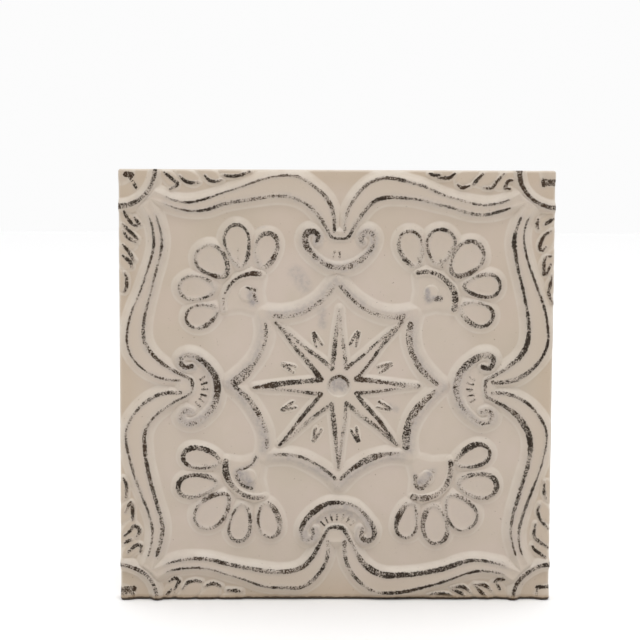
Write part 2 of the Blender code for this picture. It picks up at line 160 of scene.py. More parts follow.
# Layout for baking: margin, size of the front, where the rest begins, size of the back, how far apart and
# wide the sides' strips are for how deep a side, and how far forward and how tilted back and side faces are
UV_MARGIN = 0.005
UV_FRONT = 0.80
UV_BESIDE = 0.815
UV_BACK = 0.18
UV_STRIP_STEP = 0.045
UV_STRIP = 0.038
UV_SIDE_DEPTH = 0.012
UV_BACK_DEPTH = 0.0001
UV_BACK_TILT = 0.02
UV_SIDE_TILT = 0.5

# Stage: floor, brightness of the surround behind, in front and overhead, and the key light
FLOOR_REACH = 6.0
FLOOR_GAP = 0.00005
BACK_GLOW = 0.972
FRONT_GLOW = 0.46
TOP_GLOW = 0.45
KEY_AT = (0.12, -1.35, 2.35)
KEY_SIZE = 1.2
KEY_POWER = 25.0

SIDES = {
    "north": ((0, 1), (1, 0)),
    "east": ((1, 0), (0, 1)),
    "south": ((0, -1), (1, 0)),
    "west": ((-1, 0), (0, 1)),
}
CORNERS = {
    "north_west": (-1, 1),
    "north_east": (1, 1),
    "south_west": (-1, -1),
    "south_east": (1, -1),
}

# Border band, one half of a side: points (along, out) of its outer and inner crest
OUTER_CREST = [(2.5, 72.0), (2.8, 78.0), (5.0, 84.5), (9.5, 90.8), (15.5, 95.2), (23.0, 96.8), (35.0, 94.8),
               (50.0, 89.3), (60.0, 86.1), (68.0, 84.9), (76.0, 86.0), (83.0, 89.5)]
INNER_CREST = [(4.2, 69.8), (6.6, 74.0), (9.6, 79.0), (14.0, 84.0), (20.0, 87.2), (27.0, 88.0), (37.0, 87.0),
               (50.0, 84.0), (59.0, 81.5), (67.0, 80.6), (75.0, 82.0), (86.0, 86.0)]
NECK_END = {"north": 68.7, "west": 66.6, "east": 68.6, "south": 65.0}
NECK_SHOULDER = 0.6
BAND_DISH = 0.22
DISH_REACH = 2.8
STRAY_AT = (9.0, 23.0, 50.0, 68.0)
NECK_STRAY_AT = (9.0, 22.0)
BAND_STRAY = {
    ("north", -1): (-1.2, (0.6, 0.7, 0.3), (-0.4, 0.3, 0.6)),
    ("north", 1): (1.2, (-0.5, -1.0, -0.5), (-0.4, -0.7, -0.5)),
    ("west", 1): (0.7, (-0.4, -1.2, -1.0), (0.7, -0.5, -0.6)),
    ("west", -1): (-0.3, (0.2, 0.7, 0.0), (0.4, 0.0, -0.3)),
    ("east", 1): (0.0, (0.6, 1.4, 0.5), (0.4, 0.3, 0.5)),
    ("east", -1): (0.0, (0.6, 0.7, 0.3), (2.0, 1.0, 0.8)),
    ("south", -1): (1.1, (-2.8, -1.6, -0.6), (-1.7, -1.6, -0.5)),
    ("south", 1): (1.3, (-0.5, 1.7, 1.0), (0.0, 1.0, 0.3)),
}
RUB_SHORT = 4
# Each wash is a strength and a half width
OUTER_CREST_WASH = (0.5, 1.5)
INNER_CREST_WASH = (0.6, 1.9)
# Rubbing of each half band from neck to corner, of its outer and then its inner crest. Here and in each
# table named RUB a row is darkness and then half width, both in hundredths, at even steps along the line.
BAND_RUB = {
    ("north", -1): (
        ((60, 60, 45, 85, 95, 80, 95, 50), (60, 90, 60, 45, 50, 45, 55, 35)),
        ((80, 55, 45, 65, 65, 75, 95, 50), (50, 70, 50, 65, 80, 80, 55, 35))),
    ("north", 1): (
        ((30, 60, 65, 95, 65, 55, 85, 70), (40, 60, 80, 85, 65, 50, 50, 40)),
        ((90, 65, 90, 85, 58, 60, 80, 90), (60, 70, 95, 65, 40, 60, 80, 50))),
    ("west", 1): (
        ((80, 80, 82, 85, 80, 85, 90, 70), (45, 45, 45, 50, 45, 50, 75, 35)),
        ((80, 85, 75, 85, 65, 75, 75, 80), (80, 65, 80, 70, 42, 55, 60, 40))),
    ("west", -1): (
        ((55, 90, 35, 95, 75, 72, 80, 60), (80, 75, 35, 55, 55, 55, 65, 35)),
        ((50, 75, 65, 85, 85, 82, 78, 85), (40, 55, 50, 95, 80, 78, 90, 80))),
    ("east", 1): (
        ((72, 75, 100, 100, 97, 100, 95, 60), (90, 110, 70, 65, 65, 60, 50, 40)),
        ((80, 72, 92, 93, 100, 95, 100, 60), (80, 75, 120, 85, 65, 70, 100, 40))),
    ("east", -1): (
        ((60, 82, 88, 95, 75, 82, 82, 75), (70, 80, 55, 50, 42, 65, 68, 40)),
        ((85, 85, 92, 85, 90, 78, 84, 85), (60, 70, 150, 110, 85, 72, 60, 40))),
    ("south", -1): (
        ((55, 85, 70, 85, 78, 75, 85, 75), (70, 85, 80, 60, 45, 45, 50, 40)),
        ((90, 100, 90, 75, 75, 80, 80, 80), (80, 80, 120, 95, 85, 95, 80, 35))),
    ("south", 1): (
        ((55, 60, 60, 90, 100, 95, 90, 45), (80, 85, 60, 90, 65, 50, 50, 40)),
        ((95, 60, 75, 100, 98, 100, 88, 55), (100, 60, 140, 135, 110, 120, 80, 35))),
}

# Crescent in the mouth of each side: one half of its rim, ending in a volute
CRESCENT_RIM = [(0, 56.0), (6, 57.2), (11, 60.5), (14.3, 64.5), (15.8, 68.5), (14.8, 71.8), (12.0, 72.4),
                (9.8, 70.6), (10.4, 67.8)]
CRESCENT_AT = {"north": (1.0, -0.6), "west": (-1.0, -1.0), "east": (-0.7, -0.4), "south": (0.8, -1.2)}
# Rubbing of each crescent from its first volute to its last, and how far it is shifted out of the rim
CRESCENT_RUB = {
    "north": ((95, 80, 62, 55, 50, 45, 45, 80, 50, 35), (90, 140, 130, 80, 90, 100, 120, 90, 90, 120), 0.0),
    "west": ((60, 20, 35, 50, 68, 82, 78, 70, 62, 95), (90, 80, 80, 100, 130, 160, 130, 100, 90, 110), 0.3),
    "east": ((55, 40, 60, 52, 45, 55, 68, 78, 72, 95), (90, 80, 60, 70, 90, 140, 160, 150, 100, 120), 0.2),
    "south": ((75, 30, 85, 98, 85, 62, 55, 70, 90, 45), (70, 70, 100, 130, 90, 70, 70, 100, 110, 100), 1.3),
}
CRESCENT_RIM_HALF = 1.5
CRESCENT_RIM_WASH = (1.0, 2.6)
CRESCENT_WEB = 0.55
CRESCENT_WEB_POINTS = 5
TICK_ANGLES = (-48, -32, -16, 0, 16, 32, 48)
TICK_CENTRE = 71.0
TICK_REACH = (8.0, 10.6)
TICK_SKIRT = 0.9
TICK_CREST_HALF = 0.25
TICK_HALF = 42
# Wash over the web of each crescent: strength, reach from the ticks' centre and half width
WEB_WASH = {"north": 0.15, "west": 0.45, "east": 0.25, "south": 1.00}
WEB_WASH_REACH = 12.0
WEB_WASH_HALF = 2.2
# Darkness of each tick in hundredths
TICK_RUB = {
    "north": (0, 0, 40, 75, 0, 0, 0),
    "west": (45, 75, 100, 90, 100, 65, 0),
    "east": (0, 35, 85, 80, 70, 30, 0),
    "south": (90, 85, 100, 80, 70, 60, 25),
}

# Scalloped field
CUSP = {"north": (0.3, 49.6), "west": (1.6, 49.5), "east": (0.6, 49.0), "south": (1.4, 45.2)}
JUNCTION = {"north_west": (34.5, 34.8), "north_east": (36.0, 34.8), "south_west": (33.8, 32.6),
            "south_east": (34.2, 32.2)}
ARC_PULL = (15.0, 28.8)
ARC_CREST_HALF = 1.3
# Rubbing of each arc's star side from cusp to junction, and the arc's wash
ARC_RUB = {
    ("north", "north_west"): ((34, 34, 46, 48, 27, 39), (70, 120, 80, 80, 70, 90), 0.85),
    ("north", "north_east"): ((48, 53, 46, 39, 34, 54), (80, 80, 70, 70, 80, 130), 0.75),
    ("west", "north_west"): ((66, 62, 43, 31, 34, 58), (210, 200, 80, 70, 70, 80), 0.85),
    ("west", "south_west"): ((55, 78, 69, 55, 46, 51), (80, 120, 130, 100, 100, 100), 1.0),
    ("south", "south_west"): ((74, 74, 78, 69, 60, 64), (70, 70, 70, 60, 70, 70), 0.85),
    ("south", "south_east"): ((83, 78, 78, 78, 83, 55), (80, 80, 130, 160, 100, 70), 0.95),
    ("east", "north_east"): ((62, 58, 54, 55, 58, 54), (80, 120, 130, 130, 140, 130), 0.95),
    ("east", "south_east"): ((41, 64, 74, 75, 72, 78), (70, 120, 160, 170, 170, 170), 0.95),
}
ARC_LINE_SHIFT = 1.0
ARC_WASH_SHIFT = 0.7
ARC_WASH_HALF = 2.7
ARC_SHORT = 3

# Palmette in each corner: fan centre, collar, petal roots and petals (angle, reach, half width)
FAN_CENTRE = {"north_west": (38.0, 38.5), "north_east": (40.0, 39.5), "south_west": (37.0, 37.0),
              "south_east": (39.0, 37.5)}
COLLAR_REACH = 14.2
COLLAR_HALF = 1.1
COLLAR_SKIRT = 2.4
COLLAR_SPAN = (102, -12)
CALYX = 0.60
CALYX_SKIRT = 4.0
CALYX_WAIST = 0.45
CALYX_PULL = 1.6
BOSS_REACH = 3.0
BOSS_SKIRT = 2.2
BOSS_AT = (3.2, 4.6)
PETAL_ROOTS = [(103, 17.2), (71, 18.4), (44, 18.8), (22, 19.6), (-7.5, 17.0)]
PETALS = {
    "north_west": [(102, 33.2, 4.7), (76, 37.2, 5.7), (46, 35.4, 6.5), (12, 35.4, 5.6), (-15, 31.9, 5.0)],
    "north_east": [(104, 33.6, 5.4), (76, 34.6, 6.2), (47, 36.4, 6.6), (13, 35.8, 5.2), (-14, 32.4, 5.0)],
    "south_west": [(103, 33.8, 5.0), (76, 36.1, 5.2), (46, 38.6, 6.3), (16, 37.5, 5.2), (-9, 34.0, 4.6)],
    "south_east": [(103, 33.4, 4.9), (77, 36.4, 5.6), (50, 36.4, 6.6), (14, 36.9, 5.8), (-15, 33.0, 4.9)],
}
# Rubbing round each petal from its root and back to it, first up its right edge as seen in the photo
PETAL_RUB = {
    "north_west": [
        ((15, 75, 70, 75, 70, 65, 30, 10), (90, 120, 80, 110, 120, 60, 40, 40)),
        ((15, 90, 80, 70, 75, 70, 75, 15), (60, 110, 70, 60, 70, 60, 60, 40)),
        ((65, 75, 70, 55, 40, 62, 90, 95), (110, 100, 80, 60, 50, 60, 80, 80)),
        ((15, 60, 55, 60, 65, 65, 70, 75), (50, 60, 50, 60, 60, 80, 70, 50)),
        ((15, 75, 65, 85, 80, 60, 60, 60), (50, 60, 50, 60, 60, 70, 90, 80)),
    ],
    "north_east": [
        ((15, 35, 45, 80, 80, 55, 75, 75), (50, 50, 40, 60, 80, 50, 100, 130)),
        ((15, 70, 65, 75, 95, 80, 85, 85), (50, 50, 60, 70, 90, 60, 70, 60)),
        ((85, 80, 80, 80, 80, 75, 70, 70), (100, 120, 80, 80, 100, 90, 70, 60)),
        ((75, 90, 90, 80, 90, 90, 80, 30), (90, 90, 90, 70, 70, 90, 90, 40)),
        ((15, 60, 75, 80, 70, 85, 40, 30), (80, 110, 110, 80, 70, 80, 50, 40)),
    ],
    "south_west": [
        ((15, 75, 75, 70, 75, 60, 85, 80), (70, 120, 140, 110, 60, 50, 60, 50)),
        ((15, 85, 85, 75, 55, 80, 75, 70), (60, 60, 90, 80, 80, 80, 60, 50)),
        ((65, 75, 80, 60, 50, 50, 60, 85), (60, 90, 80, 70, 60, 50, 70, 120)),
        ((15, 55, 70, 70, 90, 95, 90, 85), (50, 50, 70, 90, 110, 110, 90, 110)),
        ((15, 70, 80, 85, 90, 90, 80, 75), (50, 40, 50, 70, 110, 120, 120, 110)),
    ],
    "south_east": [
        ((15, 30, 60, 75, 70, 75, 100, 90), (90, 50, 50, 50, 70, 80, 150, 130)),
        ((15, 20, 60, 80, 75, 75, 85, 85), (80, 50, 80, 110, 70, 70, 100, 120)),
        ((15, 60, 62, 60, 45, 85, 75, 45), (60, 90, 80, 60, 50, 60, 60, 50)),
        ((15, 80, 80, 85, 90, 85, 70, 40), (80, 100, 90, 110, 140, 100, 70, 40)),
        ((15, 85, 95, 100, 85, 95, 90, 40), (60, 120, 160, 130, 60, 90, 90, 40)),
    ],
}
# Rubbing of each collar from above the fan to beside it
COLLAR_RUB = {
    "north_west": ((95, 95, 85, 80, 85, 85), (120, 100, 70, 70, 60, 50)),
    "north_east": ((80, 75, 85, 80, 65, 75), (90, 90, 110, 130, 130, 120)),
    "south_west": ((85, 80, 80, 85, 85, 85), (100, 90, 90, 120, 160, 130)),
    "south_east": ((75, 70, 45, 65, 72, 90), (160, 130, 90, 110, 120, 120)),
}
# Rubbed lines of each boss: points as seen in the north-east, darkness and half width
BOSS_RUB = {
    "north_west": [([(41.2, 45.8), (37.4, 44.9)], 90, 70), ([(38.0, 42.8), (36.9, 39.6)], 60, 50)],
    "north_east": [([(45.6, 41.4), (47.4, 41.2)], 60, 130)],
    "south_west": [([(37.4, 32.6), (38.4, 35.6), (41.8, 38.0), (46.4, 39.3)], 85, 50),
                   ([(46.4, 39.3), (45.8, 43.0), (43.0, 46.4), (38.6, 47.4)], 70, 70)],
    "south_east": [([(36.8, 41.2), (37.0, 45.0), (38.4, 47.3), (40.8, 47.0)], 75, 90),
                   ([(40.8, 47.0), (44.0, 42.5), (45.4, 38.6)], 40, 60)],
}
# Grey smear on each boss: points as seen in the north-east and half width
BOSS_SMEAR = {
    "north_west": ([(39.4, 43.6), (38.6, 39.6)], 1.9),
    "north_east": ([(41.3, 45.4), (41.6, 40.0), (42.2, 41.4), (47.0, 41.2)], 1.2),
    "south_west": ([(44.0, 40.2), (42.0, 42.6), (40.2, 45.0)], 2.4),
    "south_east": ([(39.2, 44.4), (41.4, 42.4), (43.4, 40.2)], 1.9),
}
BOSS_SMEAR_WASH = 1.6
BOSS_WASH = (0.7, 1.5)
PETAL_DISH = 0.38
PETAL_WASH = (0.55, 1.6)
PETAL_MIDDLE_WASH = (0.16, 3.4)
COLLAR_WASH = (0.5, 1.6)
# Faint veins in some petals: ends and darkness in hundredths
VEINS = [
    ((36.8, 59.9), (38.8, 56.6), 80), ((47.4, 58.8), (48.4, 55.4), 85),
    ((50.6, 61.6), (52.3, 64.6), 50), ((-45.6, 64.5), (-45.3, 57.0), 40),
    ((-62.0, -35.8), (-55.6, -37.9), 30),
]
VEIN_HALF = 40
VEIN_WASH = (0.3, 1.0)

# Star: hub, dimple and each ray's angle and reach
HUB_AT = (1.1, 0.6)
HUB_REACH = 8.7
DIMPLE_REACH = 5.2
DIMPLE_DEPTH = 0.0016
RAYS = [(0, 36.5), (46, 41.0), (90, 35.6), (135, 41.0), (181, 39.5), (225, 38.9), (270, 38.5), (315, 38.5)]
# Rubbing of each ray from hub to tip, its right edge and then its left edge as seen from the hub
RAY_RUB = [
    (((90, 85, 70, 10, 5), (90, 80, 60, 40, 40)), ((98, 90, 85, 45, 25), (130, 100, 80, 100, 120))),
    (((95, 85, 75, 70, 65), (80, 60, 70, 110, 80)), ((80, 75, 65, 55, 60), (80, 60, 50, 60, 40))),
    (((60, 60, 50, 25, 5), (90, 80, 70, 50, 40)), ((80, 82, 70, 50, 10), (100, 110, 100, 70, 40))),
    (((60, 72, 70, 35, 70), (70, 90, 70, 40, 50)), ((98, 80, 75, 70, 85), (130, 110, 100, 70, 70))),
    (((95, 90, 95, 100, 100), (120, 110, 110, 130, 60)), ((85, 75, 60, 20, 10), (90, 70, 50, 50, 40))),
    (((90, 85, 85, 85, 95), (80, 100, 80, 70, 50)), ((75, 62, 50, 35, 80), (70, 80, 90, 60, 40))),
    (((85, 75, 72, 70, 75), (80, 100, 90, 60, 40)), ((80, 55, 45, 40, 55), (70, 80, 70, 50, 40))),
    (((75, 65, 60, 60, 75), (90, 100, 80, 60, 50)), ((85, 95, 85, 80, 80), (100, 110, 90, 80, 60))),
]
DIMPLE_RUB = ((40, 70, 92, 100, 92, 75, 40), (40, 60, 80, 90, 80, 60, 40))
DIMPLE_LINE = 0.84
DIMPLE_SPAN = (-10, 190)
# Grey over the upper part of the hollow, partly brushed grey and partly painted shade of its upper wall:
# strength and half width, then its reach as a share of the hollow's
DIMPLE_WASH_AND_SHADE = (1.4, 3.0)
DIMPLE_WASH_AND_SHADE_AT = 0.4
RAY_WASH = (0.5, 1.5)
STAR_DISH = 0.15
SEED_REACH = 24.0
SEED_HALF_LENGTH = 3.2
SEED_HALF_WIDTH = 0.66
SEED_SPREAD = (0.3, 1.5)
SEED_FADE = np.array((1.0, 1.0, 0.8))
SEED_MARK_HALF = (70, 65, 45)
SEED_RUB = (80, 82, 98, 62, 85, 62, 98, 90)

# Quarter medallion and the leaves beside it
MEDALLION_REACH = 17.0
MEDALLION_HALF = 0.9
MEDALLION_SPAN = (96, -6)
MEDALLION_WASH = (0.7, 2.2)
BUTTON_REACH = 3.5
BUTTON_SKIRT = 5.0
BUTTON_WASH = (0.4, 2.0)
LEAVES = [((80.0, 99.0), (73.0, 92.0), 2.3), ((73.0, 99.5), (63.5, 93.5), 2.6),
          ((63.5, 100.5), (54.5, 94.5), 2.5), ((54.0, 101.0), (43.5, 97.5), 2.0)]
# Brush strokes of the leaves, each half side from its medallion on: points as seen from the front
LEAF_STROKES = [
    [(-79, 98.5), (-75, 95), (-73, 93), (-76.5, 91)], [(-72, 97), (-70, 95), (-67, 93.7), (-63.5, 94)],
    [(-60.5, 97), (-59, 95.2), (-56, 94.5), (-52.5, 95.2)], [(-52, 97.2), (-46, 97), (-40, 99)],
    [(80, 95.5), (78, 95), (77, 92), (79, 91.5)], [(76, 98.5), (73, 95), (70.5, 92), (67, 92)],
    [(66.5, 98.5), (64, 96), (62, 93.5)], [(60, 92.7), (57, 92), (55, 93.5)],
    [(53.5, 98.5), (51, 96.7), (46, 96.3)], [(47, 98), (44.5, 97.6), (42, 98.3)],
    [(-97.5, 81), (-96.5, 78.5), (-94, 75.5), (-91.5, 74)], [(-92.5, 78), (-90, 74.5)],
    [(-98, 75), (-96, 72.7), (-93, 70), (-91.5, 68)], [(-98, 72), (-96, 69), (-92, 66.5)],
    [(-98, 65.5), (-95.5, 62.5), (-93, 58)], [(-98, 60.5), (-94.5, 57), (-94, 55)],
    [(-97, 52.5), (-96.3, 50), (-96.5, 46.5), (-97.5, 44)],
    [(92, 77.5), (91.7, 74.5), (92.5, 73)], [(95, 75), (99, 78)],
    [(98, 72.5), (95, 70), (93, 65), (94.5, 63.7), (96, 65)],
    [(98.5, 61), (95.5, 60), (95, 53), (96.5, 53.5), (98, 57)],
    [(98.8, 52), (98, 47), (97.5, 44), (99.5, 39)],
    [(-98.5, -42.5), (-97, -46), (-97.2, -51.5)], [(-97.5, -58.5), (-96, -55), (-94.7, -54.5), (-94.3, -62)],
    [(-98, -69.5), (-95.5, -67.5), (-93.5, -65), (-91.3, -67.5), (-92.5, -70.5)], [(-98, -73), (-95, -71.5)],
    [(-96.5, -77.5), (-94, -75), (-92, -74), (-90.5, -74.5), (-90.8, -77)],
    [(-77.5, -91), (-75, -89.5), (-73, -91), (-75, -95)], [(-76.5, -95), (-79, -98)],
    [(-71, -94.5), (-69, -92), (-66, -91), (-63, -91.5)], [(-61, -93.5), (-57, -92.3), (-53, -93.5)],
    [(-50, -95.3), (-44, -96)],
    [(74, -91.5), (75.5, -90.5), (79, -90.5)], [(75, -92), (77, -95)], [(65, -92.5), (70, -93), (73, -95.5)],
    [(65.5, -93), (68, -96), (71, -99)], [(54, -94), (57, -93.7), (60, -94), (63, -96)],
    [(54.5, -95), (58, -96.5), (60.5, -98)], [(43.5, -97.5), (47, -97), (52, -97.5), (57, -99)],
    [(97, -44), (97, -49), (98, -52)], [(95, -55), (94, -58), (95.5, -62), (99, -66)],
    [(93, -64), (92.5, -69), (95, -72), (99, -75)], [(92, -74), (93, -76), (98, -80)],
]
LEAF_STROKE_RUB = ((75, 100, 95, 70), (40, 80, 85, 50))
LEAF_STROKE_HALF = 0.3
LEAF_STROKE_WASH = (0.5, 1.2)
# Faint smudges on the ground: ends, wash and half width
SMUDGES = [((-19.0, 53.0), (-15.0, 47.0), 0.80, 3.2), ((-7.0, 36.0), (-6.5, 29.0), 0.90, 2.0),
           ((-36.0, 73.5), (-33.0, 74.0), 0.70, 0.6), ((25.0, -8.5), (28.0, -10.5), 0.70, 1.4)]
# Rubbing of each medallion's ring from the upper or lower edge round to the side
RING_RUB = {
    "north_west": ((95, 100, 80, 70, 72, 80), (90, 90, 80, 90, 110, 130)),
    "north_east": ((90, 100, 100, 90, 85, 95), (140, 120, 90, 80, 90, 100)),
    "south_west": ((80, 85, 85, 70, 75, 90), (90, 80, 80, 90, 80, 70)),
    "south_east": ((75, 80, 88, 85, 88, 90), (80, 90, 100, 90, 90, 110)),
}
# Rubbed blots on each button: ends counted from the tile's corner, darkness and half width
BUTTON_RUB = {
    "north_west": [((3.5, 2.5), (6.0, 2.8), 100, 130), ((5.0, 4.0), (8.5, 8.5), 55, 60)],
    "north_east": [((5.5, 4.0), (5.3, 6.5), 100, 100), ((5.0, 5.2), (0.5, 5.6), 90, 150)],
    "south_west": [((0.5, 5.0), (6.5, 5.2), 85, 120), ((1.5, 3.0), (5.5, 2.0), 60, 140)],
    "south_east": [((0.5, 6.2), (6.0, 6.0), 95, 80), ((5.5, 5.0), (6.0, 1.5), 70, 50)],
}


def smooth_line(knots):
    """A rounded line through all the knots."""
    first, last = 2 * knots[0] - knots[1], 2 * knots[-1] - knots[-2]
    knots = np.vstack([first, knots, last])
    points = []
    for before, start, end, after in zip(knots, knots[1:], knots[2:], knots[3:]):
        for step in range(CURVE_STEPS):
            t = step / CURVE_STEPS
            points.append(0.5 * (2 * start + (end - before) * t
                                 + (2 * before - 5 * start + 4 * end - after) * t ** 2
                                 + (3 * start - before - 3 * end + after) * t ** 3))
    points.append(knots[-2])
    return np.array(points)


def bounded(value):
    """Value held between zero and one."""
    return np.clip(value, 0, 1)


def square_reach(x, z):
    """How far out of the middle every place lies, measured as on a square."""
    return np.maximum(np.abs(x), np.abs(z))


def way_at(angle):
    """Unit vector at an angle in degrees."""
    return np.array((cos(radians(angle)), sin(radians(angle))))


def unit_arc(first, last):
    """Points of a unit circle between two angles in degrees."""
    turn = np.radians(np.linspace(first, last, ARC_STEPS))
    return np.stack([np.cos(turn), np.sin(turn)], axis=1)


def on_side(points, side, sign=1):
    """Points (along, out) of a side as points (x, z) of the tile."""
    out, along = SIDES[side]
    points = np.asarray(points, float)
    return points[:, :1] * sign * np.array(along) + points[:, 1:] * np.array(out)


def half_crest(points, neck, stray):
    """One crest of a half band, drawn out of true as on the tile."""
    points = np.array(points, float)
    along = points[:, 0].copy()
    points[:, 0] += np.interp(along, NECK_STRAY_AT, (neck, 0.0))
    points[:, 1] += np.interp(along, STRAY_AT, (0.0,) + stray)
    return points


def band_crests(side):
    """The outer and inner crest points of both half bands of a side."""
    crests = {}
    for sign in (-1, 1):
        neck, outer_stray, inner_stray = BAND_STRAY[side, sign]
        outer = half_crest(OUTER_CREST, neck, outer_stray) * (sign, 1)
        inner = half_crest(INNER_CREST, neck, inner_stray) * (sign, 1)
        crests[sign] = outer, inner
    return crests


def inner_crest(side):
    """Inner crest line of a side's band, from one corner round the neck's end to the other."""
    crests = band_crests(side)
    left, right = crests[-1][1], crests[1][1]
    middle, reach = (right[0] + left[0]) / 2, (right[0][0] - left[0][0]) / 2
    end = [(middle[0] + turn * reach, middle[1] - (middle[1] - NECK_END[side]) * np.sqrt(1 - turn ** 2))
           for turn in (NECK_SHOULDER, 0.0, -NECK_SHOULDER)]
    return smooth_line(np.vstack([right[::-1], end, left]))


def band_outline(side):
    """Closed outline of a side's band: in by one outer crest, out by the other, back by the inner one."""
    crests = band_crests(side)
    outline = [smooth_line(crests[-1][0][::-1]), smooth_line(crests[1][0]), inner_crest(side)]
    return on_side(np.vstack(outline), side)


def crescent_line(side, points):
    """Line of a crescent through its rim's first points and their mirror image."""
    rim = np.array(CRESCENT_RIM[:points])
    full = np.vstack([rim[:0:-1] * (-1, 1), rim]) + CRESCENT_AT[side]
    return on_side(smooth_line(full), side)


def arc_line(side, corner):
    """Open line of the scalloped field's arc from a side's cusp to a corner's junction."""
    sign_x, sign_z = CORNERS[corner]
    junction = np.array(JUNCTION[corner])
    sign = sign_x
    if side in ("east", "west"):
        sign = sign_z
        junction = junction[::-1]
    start = np.array(CUSP[side])
    pull = np.array(ARC_PULL) * (sign, 1)
    end = junction * (sign, 1)
    t = np.linspace(0, 1, ARC_STEPS)[:, None]
    return on_side((1 - t) ** 2 * start + 2 * t * (1 - t) * pull + t ** 2 * end, side)


def drop_outline(root, tip, half_width, points):
    """Closed drop, narrow at its root and round at its tip."""
    root, tip = np.array(root, float), np.array(tip, float)
    axis = tip - root
    across = np.array((-axis[1], axis[0])) / np.hypot(*axis)
    angle = np.linspace(0, 2 * pi, points, endpoint=False)
    share = (1 - np.cos(angle)) / 2
    width = np.sin(angle) * (1 + DROP_SWELL * share)
    width *= half_width / width.max()
    return root + np.outer(share, axis) + np.outer(width, across)


def fan_point(corner, angle, reach):
    """Point of a palmette at an angle and reach from its fan centre."""
    return (np.array(FAN_CENTRE[corner]) + reach * way_at(angle)) * CORNERS[corner]


def star_outline():
    """Closed outline of the star, ray tip and hub corner in turn."""
    points = []
    for index, (angle, reach) in enumerate(RAYS):
        following = RAYS[(index + 1) % len(RAYS)][0]
        between = (angle + following) / 2 if following > angle else (angle + following + 360) / 2
        points += [reach * way_at(angle), HUB_REACH * way_at(between)]
    return np.array(points) + HUB_AT


def line_place(x, z, line):
    """Distance of every place to an open line, and how far along the line its nearest point lies."""
    nearest = np.full(x.shape, np.inf)
    along = np.zeros(x.shape)
    passed = 0.0
    for (start_x, start_z), (end_x, end_z) in zip(line, line[1:]):
        run_x, run_z = end_x - start_x, end_z - start_z
        length = max(np.hypot(run_x, run_z), 1e-6)
        share = bounded(((x - start_x) * run_x + (z - start_z) * run_z) / length ** 2)
        away = (x - start_x - share * run_x) ** 2 + (z - start_z - share * run_z) ** 2
        closer = away < nearest
        nearest = np.where(closer, away, nearest)
        along = np.where(closer, passed + share * length, along)
        passed += length
    return np.sqrt(nearest), along


def inside(x, z, outline):
    """Whether every place lies within a closed outline."""
    within = np.zeros(x.shape, bool)
    for (start_x, start_z), (end_x, end_z) in zip(outline, np.roll(outline, -1, axis=0)):
        if start_z == end_z:
            continue
        crosses = (start_z > z) != (end_z > z)
        within ^= crosses & (x < start_x + (z - start_z) * (end_x - start_x) / (end_z - start_z))
    return within


def outline_distance(x, z, outline):
    """Distance to a closed outline, below zero inside it."""
    away, _ = line_place(x, z, np.vstack([outline, outline[:1]]))
    return np.where(inside(x, z, outline), -away, away)


def skirt(away, width):
    """Fall from a crest to the ground: one at the crest, zero at the foot, coved between."""
    t = bounded(away / width)
    return (1 - t) ** 2 * (1 + SKIRT_ROUND * t)


@dataclass
class Piece:
    """One raised piece of the pattern: a ridge along an open line, or a pad within a closed one."""
    line: np.ndarray
    top: float
    skirt: float
    half: float = 0.0
    dish: float = 0.0

    def height(self, x, z):
        """Height of the piece over the ground at every place."""
        if self.half:
            away = line_place(x, z, self.line)[0] - self.half
        else:
            away = outline_distance(x, z, self.line)
        hollow = bounded(-away / DISH_REACH)
        within = 1 - self.dish * hollow * (2 - hollow)
        return self.top * np.where(away > 0, skirt(away, self.skirt), within)


@dataclass
class Mark:
    """A rubbed line: its darkness and half width at even steps along it, and the grey wash about it."""
    line: np.ndarray
    dark: np.ndarray
    half: np.ndarray
    wash: float = 0.0
    wash_half: float = 0.0

    def reach(self):
        """How far from its line the mark is stored."""
        return max(max(self.half) + MARK_MARGIN, WASH_REACH * self.wash_half)

    def stroke(self, away, share):
        """How far within the rubbing every place lies, and how dark the rubbing is there."""
        steps = np.linspace(0, 1, len(self.dark))
        return np.interp(share, steps, self.half) - away, np.interp(share, steps, self.dark)


def rubbed(line, rub, wash=(0.0, 0.0)):
    """Mark along a line from its darkness and half width in hundredths, and its wash."""
    dark, half = (np.array(values) / 100 for values in rub)
    return Mark(np.asarray(line), dark, half, *wash)


def evenly_rubbed(line, dark, half, wash=(0.0, 0.0)):
    """Mark of one darkness and half width from end to end."""
    return rubbed(line, ((dark, dark), (half, half)), wash)


def washed(line, wash, half):
    """Mark that is a grey wash alone."""
    return evenly_rubbed(line, 0, 0, (wash, half))


def near(x, z, line, margin):
    """The places within a margin of a line's box."""
    low, high = line.min(axis=0) - margin, line.max(axis=0) + margin
    return np.flatnonzero((x >= low[0]) & (x <= high[0]) & (z >= low[1]) & (z <= high[1]))


def circle(centre, radius, points):
    """Closed circle."""
    angle = np.linspace(0, 2 * pi, points, endpoint=False)
    return np.array(centre) + radius * np.stack([np.cos(angle), np.sin(angle)], axis=1)


def band_marks(side):
    """Rubbed crests of a side's band."""
    marks = []
    inner = inner_crest(side)
    middle = len(inner) // 2
    halves = {1: inner[middle::-1], -1: inner[middle:]}
    for sign, (outer, _) in band_crests(side).items():
        outer_rub, inner_rub = BAND_RUB[side, sign]
        for crest, rub, wash in ((smooth_line(outer), outer_rub, OUTER_CREST_WASH),
                                 (halves[sign], inner_rub, INNER_CREST_WASH)):
            marks.append(rubbed(on_side(crest[:-RUB_SHORT], side), rub, wash))
    return marks


